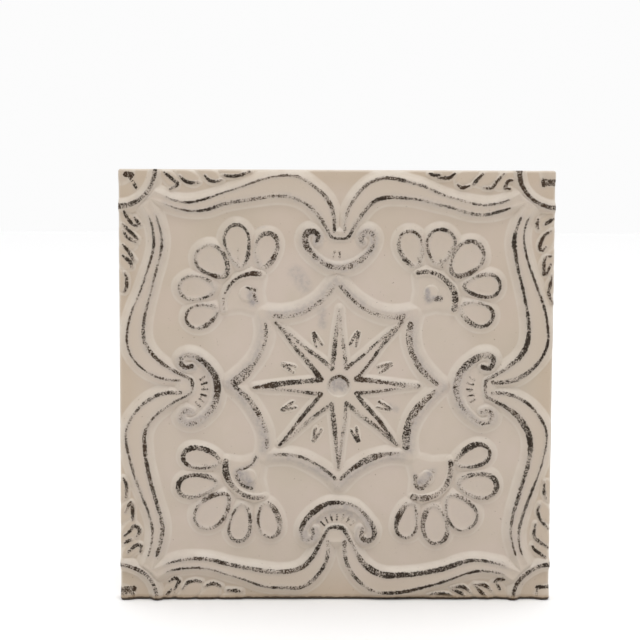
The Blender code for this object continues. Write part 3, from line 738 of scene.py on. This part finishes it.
def crescent_design(side):
    """Crescent of a side with its ticks and their marks."""
    web = crescent_line(side, CRESCENT_WEB_POINTS)
    rim = crescent_line(side, len(CRESCENT_RIM))
    pieces = [
        Piece(web, CRESCENT_WEB * CRESCENT_HEIGHT, CRESCENT_SKIRT),
        Piece(rim, CRESCENT_HEIGHT, CRESCENT_SKIRT, CRESCENT_RIM_HALF),
    ]
    *rub, shift = CRESCENT_RUB[side]
    centre = np.array(CRESCENT_AT[side]) + (0, TICK_CENTRE)
    away = rim - np.array(SIDES[side][0]) * centre[1]
    outward = away / np.linalg.norm(away, axis=1)[:, None]
    web_arc = WEB_WASH_REACH * unit_arc(TICK_ANGLES[0], TICK_ANGLES[-1])[:, ::-1] * (1, -1)
    marks = [
        washed(rim, *CRESCENT_RIM_WASH),
        rubbed(rim + shift * outward, rub),
        washed(on_side(centre + web_arc, side), WEB_WASH[side], WEB_WASH_HALF),
    ]
    for angle, dark in zip(TICK_ANGLES, TICK_RUB[side]):
        if dark:
            tick = on_side(centre + np.outer(TICK_REACH, way_at(angle - 90)), side)
            pieces.append(Piece(tick, TICK_HEIGHT, TICK_SKIRT, TICK_CREST_HALF))
            marks.append(evenly_rubbed(tick, dark, TICK_HALF))
    return pieces, marks


def side_design(side):
    """Band, crescent and low ground of the leaves of one side, with the marks rubbed on them."""
    pieces, marks = crescent_design(side)
    pieces.append(Piece(band_outline(side), BAND_HEIGHT, BAND_SKIRT, dish=BAND_DISH))
    marks += band_marks(side)
    for sign in (-1, 1):
        for root, tip, half_width in LEAVES:
            leaf = on_side(drop_outline(root, tip, half_width, LEAF_POINTS), side, sign)
            pieces.append(Piece(leaf, LEAF_GROUND * LEAF_HEIGHT, LEAF_SKIRT))
    return pieces, marks


def palmette_design(corner):
    """Petals, collar, calyx and boss of one corner, with the marks rubbed on them."""
    signs = np.array(CORNERS[corner])
    pieces, marks = [], []
    for root_at, (angle, reach, half_width), rub in zip(PETAL_ROOTS, PETALS[corner], PETAL_RUB[corner]):
        root, tip = fan_point(corner, *root_at), fan_point(corner, angle, reach)
        petal = drop_outline(root, tip, half_width, DROP_POINTS)
        pieces.append(Piece(petal, PETAL_HEIGHT, PETAL_SKIRT, dish=PETAL_DISH))
        ring = np.vstack([petal, petal[:1]])
        if signs[1] > 0:
            ring = ring[::-1]
        marks.append(rubbed(ring, [row + row[:1] for row in rub], PETAL_WASH))
        outer_end = petal[len(petal) // 2]
        marks.append(washed([(petal[0] + outer_end) / 2, outer_end], *PETAL_MIDDLE_WASH))
    angles = np.linspace(*COLLAR_SPAN, ARC_STEPS)
    collar = np.array([fan_point(corner, angle, COLLAR_REACH) for angle in angles])
    pieces.append(Piece(collar, PETAL_HEIGHT, COLLAR_SKIRT, COLLAR_HALF))
    marks.append(rubbed(collar, COLLAR_RUB[corner], COLLAR_WASH))
    junction = np.array(JUNCTION[corner]) * signs
    waist = CALYX_WAIST * junction + (1 - CALYX_WAIST) * collar[[0, -1]] + CALYX_PULL * np.diag(signs)
    calyx = np.vstack([collar, waist[1], junction, waist[0]])
    pieces.append(Piece(calyx, CALYX * PETAL_HEIGHT, CALYX_SKIRT))
    boss_at = (np.array(FAN_CENTRE[corner]) + BOSS_AT) * signs
    pieces.append(Piece(circle(boss_at, BOSS_REACH, LEAF_POINTS), PETAL_HEIGHT, BOSS_SKIRT))
    for points, dark, half in BOSS_RUB[corner]:
        marks.append(evenly_rubbed(np.array(points) * signs, dark, half, BOSS_WASH))
    points, half = BOSS_SMEAR[corner]
    marks.append(washed(np.array(points) * signs, BOSS_SMEAR_WASH, half))
    return pieces, marks


def corner_design(corner):
    """Arcs, palmette and quarter medallion of one corner, with the marks rubbed on them."""
    signs = np.array(CORNERS[corner])
    pieces, marks = palmette_design(corner)
    for side in corner.split("_"):
        arc = arc_line(side, corner)
        pieces.append(Piece(arc, ARC_HEIGHT, ARC_SKIRT, ARC_CREST_HALF))
        *rub, wash = ARC_RUB[side, corner]
        arc = arc[:-ARC_SHORT]
        outward = arc / np.linalg.norm(arc, axis=1)[:, None]
        marks.append(rubbed((arc - ARC_LINE_SHIFT * outward)[1:], rub))
        marks.append(washed(arc + ARC_WASH_SHIFT * outward, wash, ARC_WASH_HALF))
    tile_corner = HALF * signs
    ring = tile_corner - MEDALLION_REACH * unit_arc(*MEDALLION_SPAN)[::-1] * signs
    pieces.append(Piece(ring, MEDALLION_HEIGHT, MEDALLION_SKIRT, MEDALLION_HALF))
    marks.append(rubbed(ring, RING_RUB[corner], MEDALLION_WASH))
    pieces.append(Piece(circle(tile_corner, BUTTON_REACH, DROP_POINTS), BUTTON_HEIGHT, BUTTON_SKIRT))
    for start, end, dark, half in BUTTON_RUB[corner]:
        blot = tile_corner - np.array([start, end]) * signs
        marks.append(evenly_rubbed(blot, dark, half, BUTTON_WASH))
    return pieces, marks


def stroke_design():
    """Brushed strokes of the leaves, veins of the petals and the faint smudges on the ground."""
    lines = [smooth_line(np.array(points, float)) for points in LEAF_STROKES]
    pieces = [Piece(line, LEAF_HEIGHT, LEAF_SKIRT, LEAF_STROKE_HALF) for line in lines]
    marks = [rubbed(line, LEAF_STROKE_RUB, LEAF_STROKE_WASH) for line in lines]
    marks += [evenly_rubbed([start, end], dark, VEIN_HALF, VEIN_WASH) for start, end, dark in VEINS]
    marks += [washed([start, end], wash, half) for start, end, wash, half in SMUDGES]
    return pieces, marks


def star_design():
    """Star and the seeds between its rays, with the marks rubbed on them and painted shade in the upper part
    of the dimple.
    """
    outline = star_outline()
    pieces = [Piece(outline, STAR_HEIGHT, STAR_SKIRT, dish=STAR_DISH)]
    marks = []
    for index, (right, left) in enumerate(RAY_RUB):
        tip = outline[2 * index]
        marks.append(rubbed([outline[2 * index - 1], tip], right, RAY_WASH))
        marks.append(rubbed([outline[2 * index + 1], tip], left, RAY_WASH))
        way = way_at(RAYS[index][0] + 180 / len(RAYS))
        across = np.array((-way[1], way[0]))
        root, tip = way * (SEED_REACH - SEED_HALF_LENGTH), way * (SEED_REACH + SEED_HALF_LENGTH)
        for lean in (-1, 1):
            point, foot = tip + lean * SEED_SPREAD[0] * across, root + lean * SEED_SPREAD[1] * across
            seed = drop_outline(point, foot, SEED_HALF_WIDTH, SEED_POINTS)
            pieces.append(Piece(seed, SEED_HEIGHT, SEED_SKIRT))
            marks.append(rubbed([point, foot], (SEED_RUB[index] * SEED_FADE, SEED_MARK_HALF)))
    bowl = DIMPLE_REACH * unit_arc(*DIMPLE_SPAN)
    marks.append(rubbed(HUB_AT + DIMPLE_LINE * bowl, DIMPLE_RUB))
    # Grey over the hollow's upper part: brushed grey and painted shade of its upper wall
    marks.append(washed(HUB_AT + DIMPLE_WASH_AND_SHADE_AT * bowl, *DIMPLE_WASH_AND_SHADE))
    return pieces, marks


def dimple_depth(x, z):
    """Depth of the round hollow in the middle of the star."""
    away = np.hypot(x - HUB_AT[0], z - HUB_AT[1])
    return DIMPLE_DEPTH * np.sqrt(bounded(1 - (away / DIMPLE_REACH) ** 2))


def relief_height(pieces, x, z):
    """Height of the relief over the ground at every place of the front."""
    height = np.zeros(x.shape)
    for piece in pieces:
        reach = near(x, z, piece.line, piece.half + piece.skirt)
        if len(reach):
            height[reach] = np.maximum(height[reach], piece.height(x[reach], z[reach]))
    return height - dimple_depth(x, z)


def edge_fall(x, z):
    """Depth of the rounding along the rim of the front."""
    reach = EDGE_ROUND / UNIT
    into = bounded((HALF - square_reach(x, z)) / reach)
    return EDGE_ROUND * (1 - np.sqrt(1 - (1 - into) ** 2))


def round_corners(x, z):
    """Places of the square front moved so that its four corners are rounded in plan."""
    straight = HALF - EDGE_ROUND / UNIT
    past_x, past_z = np.abs(x) - straight, np.abs(z) - straight
    reach, turn = np.maximum(past_x, past_z), np.arctan2(past_z, past_x)
    corner = (past_x > 0) & (past_z > 0)
    round_x = np.sign(x) * (straight + reach * np.cos(turn))
    round_z = np.sign(z) * (straight + reach * np.sin(turn))
    return np.where(corner, round_x, x), np.where(corner, round_z, z)


def swell(x, z, size, seed):
    """Smooth unevenness from minus one to one, its waves about a size across."""
    waves = np.zeros(x.shape)
    turns = np.random.default_rng(seed)
    for _ in range(WAVES):
        angle, phase = turns.uniform(0, 2 * pi, 2)
        pitch = 2 * pi / (size * turns.uniform(*WAVE_SPREAD))
        waves += np.sin(pitch * (x * np.cos(angle) + z * np.sin(angle)) + phase)
    return 2 * waves / WAVES


def wandered(x, z):
    """Places shifted so that the drawn lines wander as if cut by hand."""
    shift = WANDER * bounded((HALF - square_reach(x, z)) / WANDER_CALM)
    return x + shift * swell(x, z, WANDER_WAVE, 1), z + shift * swell(x, z, WANDER_WAVE, 2)


def build_design():
    """All the raised pieces and rubbed marks."""
    designs = [star_design(), stroke_design()]
    designs += [side_design(side) for side in SIDES]
    designs += [corner_design(corner) for corner in CORNERS]
    return [[item for design in designs for item in design[kind]] for kind in (0, 1)]


def add_object(name, data):
    """New object in the scene."""
    new = bpy.data.objects.new(name, data)
    bpy.context.scene.collection.objects.link(new)
    return new


def square_mesh(name, steps, size):
    """Flat square mesh in even steps, reaching a size from its middle."""
    mesh = bpy.data.meshes.new(name)
    form = bmesh.new()
    bmesh.ops.create_grid(form, x_segments=steps, y_segments=steps, size=size)
    form.to_mesh(mesh)
    form.free()
    return mesh


def read(items, name, width, kind=float):
    """A named value of every item of a mesh, as a table of a given width."""
    values = np.empty(width * len(items), kind)
    items.foreach_get(name, values)
    return values.reshape(-1, width)


def front_sheet(pieces):
    """The open front surface at full fineness, thinned where it is flat."""
    mesh = square_mesh("front_sheet", FRONT_STEPS, HALF)
    x, z, _ = read(mesh.vertices, "co", 3).T
    rise = BODY_THICKNESS + relief_height(pieces, *wandered(x, z)) - edge_fall(x, z)
    calm = bounded((HALF - square_reach(x, z)) / SWELL_CALM)
    rise += calm * (SWELL * swell(x, z, SWELL_WAVE, 3) + RIPPLE * swell(x, z, RIPPLE_WAVE, 4)
                    + GRAIN * swell(x, z, GRAIN_WAVE, 5))
    rise = np.minimum(rise, -cad_low.y)
    x, z = round_corners(x, z)
    mesh.vertices.foreach_set("co", np.stack([x * UNIT, -rise, z * UNIT], axis=1).ravel())
    sheet = add_object("front_sheet", mesh)
    within = np.flatnonzero(square_reach(x, z) < HALF - RIM_KEPT)
    sheet.vertex_groups.new(name="thinned").add(within.tolist(), 1.0, "REPLACE")
    thin = sheet.modifiers.new("Thin", "DECIMATE")
    thin.ratio = FRONT_TRIANGLES / (2 * len(mesh.polygons))
    thin.vertex_group = "thinned"
    bpy.context.view_layer.update()
    graph = bpy.context.evaluated_depsgraph_get()
    thinned = bpy.data.meshes.new_from_object(sheet.evaluated_get(graph))
    bpy.data.objects.remove(sheet, do_unlink=True)
    return thinned


def back_faces(form, rim):
    """Fill the back with a flat face that carries the key slots."""
    points = [Vector((vertex.co.x, vertex.co.z)) for vertex in rim]
    lines = [(index, (index + 1) % len(rim)) for index in range(len(rim))]
    straight = (TILE_SIDE - 2 * SLOT_END_MARGIN - SLOT_WIDTH) / 2
    outermost = TILE_SIDE / 2 - SLOT_MARGIN - SLOT_WIDTH / 2
    rows = [outermost - row * (SLOT_WIDTH + SLOT_GAP) for row in range(SLOT_ROWS)]
    levels = rows + [-row for row in rows]
    for level in levels:
        for inset in SLOT_INSETS:
            first = len(points)
            radius = SLOT_WIDTH / 2 - inset
            for end in (1, -1):
                for angle in np.radians(np.linspace(-90, 90, SLOT_END_POINTS)):
                    along = straight + radius * cos(angle)
                    points.append(Vector((end * along, level + end * radius * sin(angle))))
            count = len(points) - first
            lines += [(first + index, first + (index + 1) % count) for index in range(count)]
    reach = TILE_SIDE / 2 - BACK_STEP
    steps = np.arange(-reach, reach + BACK_STEP / 2, BACK_STEP)
    points += [Vector((x, z)) for x in steps for z in steps]
    places, _, faces, origins, _, _ = delaunay_2d_cdt(points, lines, [], 0, 1e-6)
    vertices = []
    for place, origin in zip(places, origins):
        known = [index for index in origin if index < len(rim)]
        if known:
            vertices.append(rim[known[0]])
            continue
        depth = 0.0
        for level in levels:
            reach = max(abs(place.x) - straight, 0.0)
            into = SLOT_WIDTH / 2 - np.hypot(reach, place.y - level)
            depth = max(depth, SLOT_DEPTH * min(max(into, 0.0) / SLOT_EDGE, 1.0) ** 0.5)
        vertices.append(form.verts.new((place.x, -depth, place.y)))
    for face in faces:
        corners = [vertices[index] for index in reversed(face)]
        if len(set(corners)) == 3 and form.faces.get(corners) is None:
            form.faces.new(corners)


def rim_loop(form):
    """The open rim's vertices in order."""
    rim = [edge for edge in form.edges if edge.is_boundary]
    edges, edge = set(rim), rim[0]
    start = vertex = edge.verts[0]
    loop = []
    while True:
        loop.append(vertex)
        edges.discard(edge)
        vertex = edge.other_vert(vertex)
        if vertex is start:
            return loop
        edge = next(other for other in vertex.link_edges if other in edges)


def tile_mesh(pieces):
    """The closed body: the fine front, straight sides, a slightly eased back edge and the slotted back."""
    mesh = front_sheet(pieces)
    mesh.name = "tile_glazed"
    form = bmesh.new()
    form.from_mesh(mesh)
    half = TILE_SIDE / 2
    for level, inset in ((-BODY_THICKNESS * BARE_REACH, 0.0), (-BACK_ROUND, 0.0),
                         (-BACK_EASE, BACK_EASE), (0.0, BACK_ROUND)):
        rim = [edge for edge in form.edges if edge.is_boundary]
        grown = bmesh.ops.extrude_edge_only(form, edges=rim)["geom"]
        for element in grown:
            if isinstance(element, bmesh.types.BMVert):
                element.co.y = level
                element.co.x = min(max(element.co.x, inset - half), half - inset)
                element.co.z = min(max(element.co.z, inset - half), half - inset)
    bmesh.ops.remove_doubles(form, verts=[vertex for vertex in form.verts if vertex.is_boundary], dist=1e-6)
    back_faces(form, rim_loop(form))
    bmesh.ops.recalc_face_normals(form, faces=form.faces)
    for face in form.faces:
        face.smooth = True
    for edge in form.edges:
        edge.smooth = len(edge.link_faces) == 2 and edge.calc_face_angle(0.0) < radians(SHARP_ANGLE)
    form.to_mesh(mesh)
    form.free()
    return mesh


def paint_masks(mesh, pieces, marks):
    """Store how strongly each place is rubbed, washed, sloped and bare."""
    count = len(mesh.vertices)
    x, y, z = read(mesh.vertices, "co", 3).T
    x, z = x / UNIT, z / UNIT
    _, facing, rising = read(mesh.vertices, "normal", 3).T
    drawn_x, drawn_z = wandered(x, z)
    front = y < -BODY_THICKNESS + EDGE_ROUND
    edge, rub, wash = np.full(count, -MARK_MARGIN), np.zeros(count), np.zeros(count)
    stroke = np.zeros((count, 3))
    for index, mark in enumerate(marks):
        reach = near(drawn_x, drawn_z, mark.line, mark.reach())
        if not len(reach):
            continue
        away, along = line_place(drawn_x[reach], drawn_z[reach], mark.line)
        length = np.linalg.norm(np.diff(mark.line, axis=0), axis=1).sum()
        within, dark = mark.stroke(away, along / length)
        nearer = (within > edge[reach]) & (dark > 0)
        edge[reach[nearer]] = within[nearer]
        rub[reach[nearer]] = dark[nearer]
        brush = np.stack([along + BRUSH_SLANT * away, away, np.full(len(away), BRUSH_APART * index)], axis=1)
        stroke[reach[nearer]] = brush[nearer]
        if mark.wash:
            faded = mark.wash * bounded(WASH_REACH - away / mark.wash_half)
            wash[reach] = np.maximum(wash[reach], faded)
    lift = bounded(relief_height(pieces, drawn_x, drawn_z) / RELIEF)
    slope = bounded((1 + facing) / SLOPE_FULL)
    # Paler slopes: paler glaze on every slope, plus a painted highlight that grows on slopes facing upward
    pale_slope_and_highlight = bounded(slope * (SLOPE_LEVEL + UPWARD_PAINTED_HIGHLIGHT * rising)) * (1 - SLOPE_CREST * lift)
    rim, top = (bounded((square_reach(x, z) - start) / width) for start, width in (WARM_RIM, WARM_TOP))
    masks = {
        "edge": edge,
        "rub": rub * front,
        "wash": wash * (1 - WASH_ON_SLOPE * pale_slope_and_highlight) * front,
        "pale_slope_and_highlight": pale_slope_and_highlight * front,
        "lift": lift * front,
        "bare": bounded(1 + y / (BARE_REACH * BODY_THICKNESS)),
        "foot": bounded(1 - (z + HALF) / FOOT_REACH),
        "outer": np.maximum(rim, WARM_TOP_SHARE * top * bounded(z / WARM_TOP_RISE)),
    }
    for name, values in masks.items():
        layer = mesh.attributes.new(name, "FLOAT", "POINT")
        layer.data.foreach_set("value", values.astype(np.float32))
    layer = mesh.attributes.new("stroke", "FLOAT_VECTOR", "POINT")
    layer.data.foreach_set("vector", stroke.astype(np.float32).ravel())


def lay_uv(mesh):
    """Flat layout for baking: the front large, the back and the four sides beside it."""
    place = read(mesh.vertices, "co", 3)[read(mesh.loops, "vertex_index", 1, int)[:, 0]]
    normals, centres = read(mesh.polygons, "normal", 3), read(mesh.polygons, "center", 3)
    half = TILE_SIDE / 2
    rim = half - 2 * EDGE_ROUND
    kind = np.where((centres[:, 1] > -UV_BACK_DEPTH) | (normals[:, 1] >= -UV_BACK_TILT), 1, 0)
    beside = (square_reach(centres[:, 0], centres[:, 2]) > rim) & (np.abs(normals[:, 1]) < UV_SIDE_TILT)
    x, z = centres[beside, 0], centres[beside, 2]
    kind[beside] = 2 + 2 * (np.abs(x) > np.abs(z)) + (np.maximum(x, z) > rim)
    kind = np.repeat(kind, read(mesh.polygons, "loop_total", 1, int)[:, 0])
    across, up = (place[:, 0] + half) / TILE_SIDE, (place[:, 2] + half) / TILE_SIDE
    deep = bounded(-place[:, 1] / UV_SIDE_DEPTH)
    uv = UV_MARGIN + UV_FRONT * np.stack([across, up], axis=1)
    back = kind == 1
    uv[back, 0] = UV_BESIDE + UV_BACK * (1 - across[back])
    uv[back, 1] = UV_MARGIN + UV_BACK * up[back]
    for index in range(2, 6):
        strip = kind == index
        uv[strip, 0] = UV_MARGIN + UV_FRONT * (across if index < 4 else up)[strip]
        uv[strip, 1] = UV_BESIDE + UV_STRIP_STEP * (index - 2) + UV_STRIP * deep[strip]
    mesh.uv_layers.new(name="OFBake").data.foreach_set("uv", uv.ravel())


class Graph:
    """Adds and links the shader nodes of a material or world."""

    def __init__(self, owner):
        owner.use_nodes = True
        self.nodes = owner.node_tree.nodes
        self.links = owner.node_tree.links

    def put(self, socket, value):
        if isinstance(value, bpy.types.NodeSocket):
            self.links.new(value, socket)
        else:
            socket.default_value = value

    def add(self, kind, output, inputs, **settings):
        """One output of a new node, made from its inputs and settings."""
        node = self.nodes.new(f"ShaderNode{kind}")
        for name, value in settings.items():
            setattr(node, name, value)
        for name, value in inputs.items():
            self.put(node.inputs[name], value)
        return node.outputs[output]

    def noise(self, where, scale, detail=2.0, rough=0.5):
        inputs = {"Vector": where, "Scale": scale, "Detail": detail, "Roughness": rough}
        return self.add("TexNoise", "Fac", inputs)

    def mask(self, name, output="Fac"):
        return self.add("Attribute", output, {}, attribute_type="GEOMETRY", attribute_name=name)

    def math(self, operation, *values):
        return self.add("Math", 0, dict(enumerate(values)), operation=operation)

    def times(self, first, second):
        return self.math("MULTIPLY", first, second)

    def grown(self, value, factor, start):
        """The value times a factor, added to a start."""
        return self.math("MULTIPLY_ADD", value, factor, start)

    def ramp(self, value, low, high, low_out=0.0, high_out=1.0, shape="SMOOTHSTEP"):
        inputs = {"Value": value, "From Min": low, "From Max": high, "To Min": low_out, "To Max": high_out}
        return self.add("MapRange", "Result", inputs, interpolation_type=shape)

    def mix(self, share, first, second):
        return self.add("Mix", "Result", {"Factor": share, "A": first, "B": second}, data_type="RGBA")


def linear(red, green, blue):
    """Display colour from 0 to 255 as the shader's linear colour."""
    channels = []
    for channel in (red, green, blue):
        share = channel / 255
        channels.append(share / 12.92 if share <= 0.04045 else ((share + 0.055) / 1.055) ** 2.4)
    return (*channels, 1.0)


# Colours of the glaze, its wash and rubbing, the clay and the stage
GROUND = linear(190, 176, 161)
GROUND_PINK = linear(193, 178, 165)
GROUND_GREEN = linear(183, 171, 154)
GROUND_WARM = linear(183, 165, 144)
# Paler glaze of the slopes and the lines at their foot, also used as the painted highlight on upward-facing
# slopes
PALE_GLAZE_AND_HIGHLIGHT = linear(208, 199, 187)
RAISED = linear(188, 175, 161)
WASH = linear(154, 146, 142)
GREY = linear(128, 116, 103)
BLACK = linear(36, 27, 19)
BROWN = linear(62, 44, 29)
CLAY = linear(176, 140, 112)
CLAY_DARK = linear(162, 124, 96)
SPECK = linear(112, 98, 86)
TAN = linear(165, 144, 120)
# Dark brown of the bottom edge: bare clay with painted contact shadow under the rounded edge
FOOT_CLAY_AND_SHADOW = linear(58, 43, 28)
WHITE = (1.0, 1.0, 1.0, 1.0)
FLOOR = (0.914, 0.914, 0.914, 1.0)


def rubbed_share(graph, where):
    """How black and how grey the rubbing leaves each place: broken, stippled and brushed across its line."""
    rub = graph.mask("rub")
    brush = graph.mask("stroke", "Vector")
    along = graph.add("Mapping", "Vector", {"Vector": brush, "Scale": (1.7, 0.5, 1.0)})
    uneven = 0.0
    for grain, strength in ((graph.noise(along, 1.0, 3, 0.7), 2.4), (graph.noise(where, 1400, 3, 0.75), 3.8),
                            (graph.noise(where, 210), 1.8)):
        uneven = graph.grown(graph.math("SUBTRACT", grain, 0.5), strength, uneven)
    level = graph.grown(uneven, graph.grown(rub, -0.60, 1.25), rub)
    edge = graph.grown(uneven, 0.40, graph.math("SUBTRACT", graph.mask("edge"), 0.08))
    black = graph.times(graph.ramp(level, 0.62, 0.92), graph.ramp(edge, -0.10, 0.12))
    grey = graph.times(graph.ramp(level, 0.15, 0.75), graph.ramp(edge, -0.30, 0.12))
    return black, graph.times(grey, graph.ramp(rub, 0.02, 0.30))


def glaze_colour(graph, where, black, grey):
    """Colour of the glaze: mottled ground, paler slopes carrying a painted highlight where they face upward,
    grey wash, then the rubbing and a few specks.
    """
    lift = graph.mask("lift")
    slope_break = graph.ramp(graph.noise(where, 130, 3, 0.6), 0.25, 0.7, 0.45, 0.85)
    foot_of_slope = graph.times(graph.ramp(lift, 0.002, 0.05), graph.ramp(lift, 0.06, 0.30, 1.0, 0.0))
    wash_break = graph.times(graph.ramp(graph.noise(where, 500, 4, 0.7), 0.36, 0.62, 0.40, 1.0),
                             graph.ramp(graph.noise(where, 80), 0.3, 0.62, 0.55, 1.0))
    ink = graph.mix(graph.ramp(graph.noise(where, 60, 1), 0.45, 0.6, 0.0, 0.6), BLACK, BROWN)
    colour = GROUND
    for share, layer in (
            (graph.ramp(graph.noise(where, 55, 3, 0.55), 0.35, 0.65), GROUND_PINK),
            (graph.ramp(graph.noise(where, 18), 0.5, 0.75, 0.0, 0.6), GROUND_GREEN),
            (graph.times(graph.mask("outer"), 0.75), GROUND_WARM),
            (graph.times(lift, 0.6), RAISED),
            # Paler slopes: partly paler glaze, partly painted highlight on slopes facing upward
            (graph.times(graph.mask("pale_slope_and_highlight"), slope_break), PALE_GLAZE_AND_HIGHLIGHT),
            (graph.times(foot_of_slope, graph.times(slope_break, 0.5)), PALE_GLAZE_AND_HIGHLIGHT),
            (graph.times(graph.times(graph.mask("wash"), wash_break), 0.75), WASH),
            (graph.times(grey, 0.62), GREY),
            (graph.times(black, 0.95), ink),
            (graph.times(graph.ramp(graph.noise(where, 900, 1, 0.4), 0.765, 0.80), 0.55), SPECK)):
        colour = graph.mix(share, colour, layer)
    return colour


def glaze():
    """Cream glaze, rubbed on the crests, over clay that shows at the back and along the foot, where the
    darkest bottom strip is bare clay with painted contact shadow.
    """
    material = bpy.data.materials.new("cream_glaze")
    graph = Graph(material)
    where = graph.add("TexCoord", "Object", {})
    black, grey = rubbed_share(graph, where)
    ragged_foot = graph.math("SUBTRACT", graph.noise(where, 400), 0.5)
    foot = graph.grown(ragged_foot, 0.25, graph.mask("foot"))
    ragged = graph.math("SUBTRACT", graph.noise(where, 150), 0.5)
    bare = graph.ramp(graph.grown(ragged, 0.65, graph.mask("bare")), 0.45, 0.62)
    clay = graph.mix(graph.ramp(graph.noise(where, 260, 4, 0.65), 0.35, 0.65), CLAY, CLAY_DARK)
    colour = glaze_colour(graph, where, black, grey)
    colour = graph.mix(graph.ramp(foot, 0.25, 0.60, 0.0, 0.75), colour, TAN)
    # Darkest strip at the very bottom: bare clay with painted contact shadow
    colour = graph.mix(graph.ramp(foot, 0.60, 0.74, 0.0, 0.95), colour, FOOT_CLAY_AND_SHADOW)
    rough = graph.ramp(graph.noise(where, 240, 3, 0.6), 0.3, 0.7, 0.38, 0.52)
    rough = graph.grown(bare, 0.25, graph.grown(black, 0.15, rough))
    relief = graph.grown(black, -0.5, graph.times(graph.noise(where, 700, 3, 0.6), 0.4))
    bump = graph.add("Bump", "Normal", {"Strength": 0.4, "Distance": 0.0003, "Height": relief})
    surface = {
        "Base Color": graph.mix(bare, colour, clay),
        "Roughness": rough,
        "Specular IOR Level": graph.grown(black, -0.28, 0.35),
        "Normal": bump,
    }
    for name, value in surface.items():
        graph.put(graph.nodes["Principled BSDF"].inputs[name], value)
    return material


def add_tile():
    """The visible tile in place of the plain solid."""
    pieces, marks = build_design()
    mesh = tile_mesh(pieces)
    paint_masks(mesh, pieces, marks)
    lay_uv(mesh)
    mesh.materials.append(glaze())
    tile = add_object("tile_glazed", mesh)
    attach(tile, "root")
    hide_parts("tile")


def add_floor():
    """Wide white floor under the tile's lower edge."""
    floor = add_object("floor", square_mesh("floor", 1, FLOOR_REACH))
    floor.location.z = -TILE_SIDE / 2 - FLOOR_GAP
    material = bpy.data.materials.new("pale_floor")
    graph = Graph(material)
    for name, value in (("Base Color", FLOOR), ("Roughness", 0.8)):
        graph.put(graph.nodes["Principled BSDF"].inputs[name], value)
    floor.data.materials.append(material)


def add_light(name, place, size, power):
    """Soft square light aimed at the tile."""
    light = bpy.data.lights.new(name, "AREA")
    light.shape = "SQUARE"
    light.size = size
    light.energy = power
    lamp = add_object(name, light)
    lamp.location = place
    lamp.rotation_euler = (-Vector(place)).to_track_quat("-Z", "Y").to_euler()


def add_world():
    """White studio surround, dimmer on the camera's side and a little brighter overhead."""
    world = bpy.data.worlds.new("studio")
    graph = Graph(world)
    axes = graph.nodes.new("ShaderNodeSeparateXYZ")
    graph.put(axes.inputs["Vector"], graph.add("TexCoord", "Generated", {}))
    front = graph.ramp(axes.outputs["Y"], -0.7, 0.1, FRONT_GLOW, BACK_GLOW)
    above = graph.ramp(axes.outputs["Z"], 0.25, 1.0, 0.0, TOP_GLOW, "LINEAR")
    graph.put(graph.nodes["Background"].inputs["Strength"], graph.math("ADD", front, above))
    graph.put(graph.nodes["Background"].inputs["Color"], WHITE)
    bpy.context.scene.world = world


def add_camera():
    """Camera at the photograph's viewing angle."""
    camera = bpy.data.cameras.new("camera")
    camera.lens = 87.19
    camera.sensor_width = 36.0
    camera.clip_start, camera.clip_end = 0.01, 50.0
    eye = add_object("camera", camera)
    eye.location = (-0.02007, -0.71963, 0.09181)
    eye.rotation_euler = Euler((radians(85.1207), radians(-0.2536), radians(-0.9720)))
    bpy.context.scene.camera = eye


add_tile()
add_floor()
add_world()
add_light("key", KEY_AT, KEY_SIZE, KEY_POWER)
add_camera()
bpy.context.scene.view_settings.view_transform = "Standard"
bpy.context.view_layer.update()
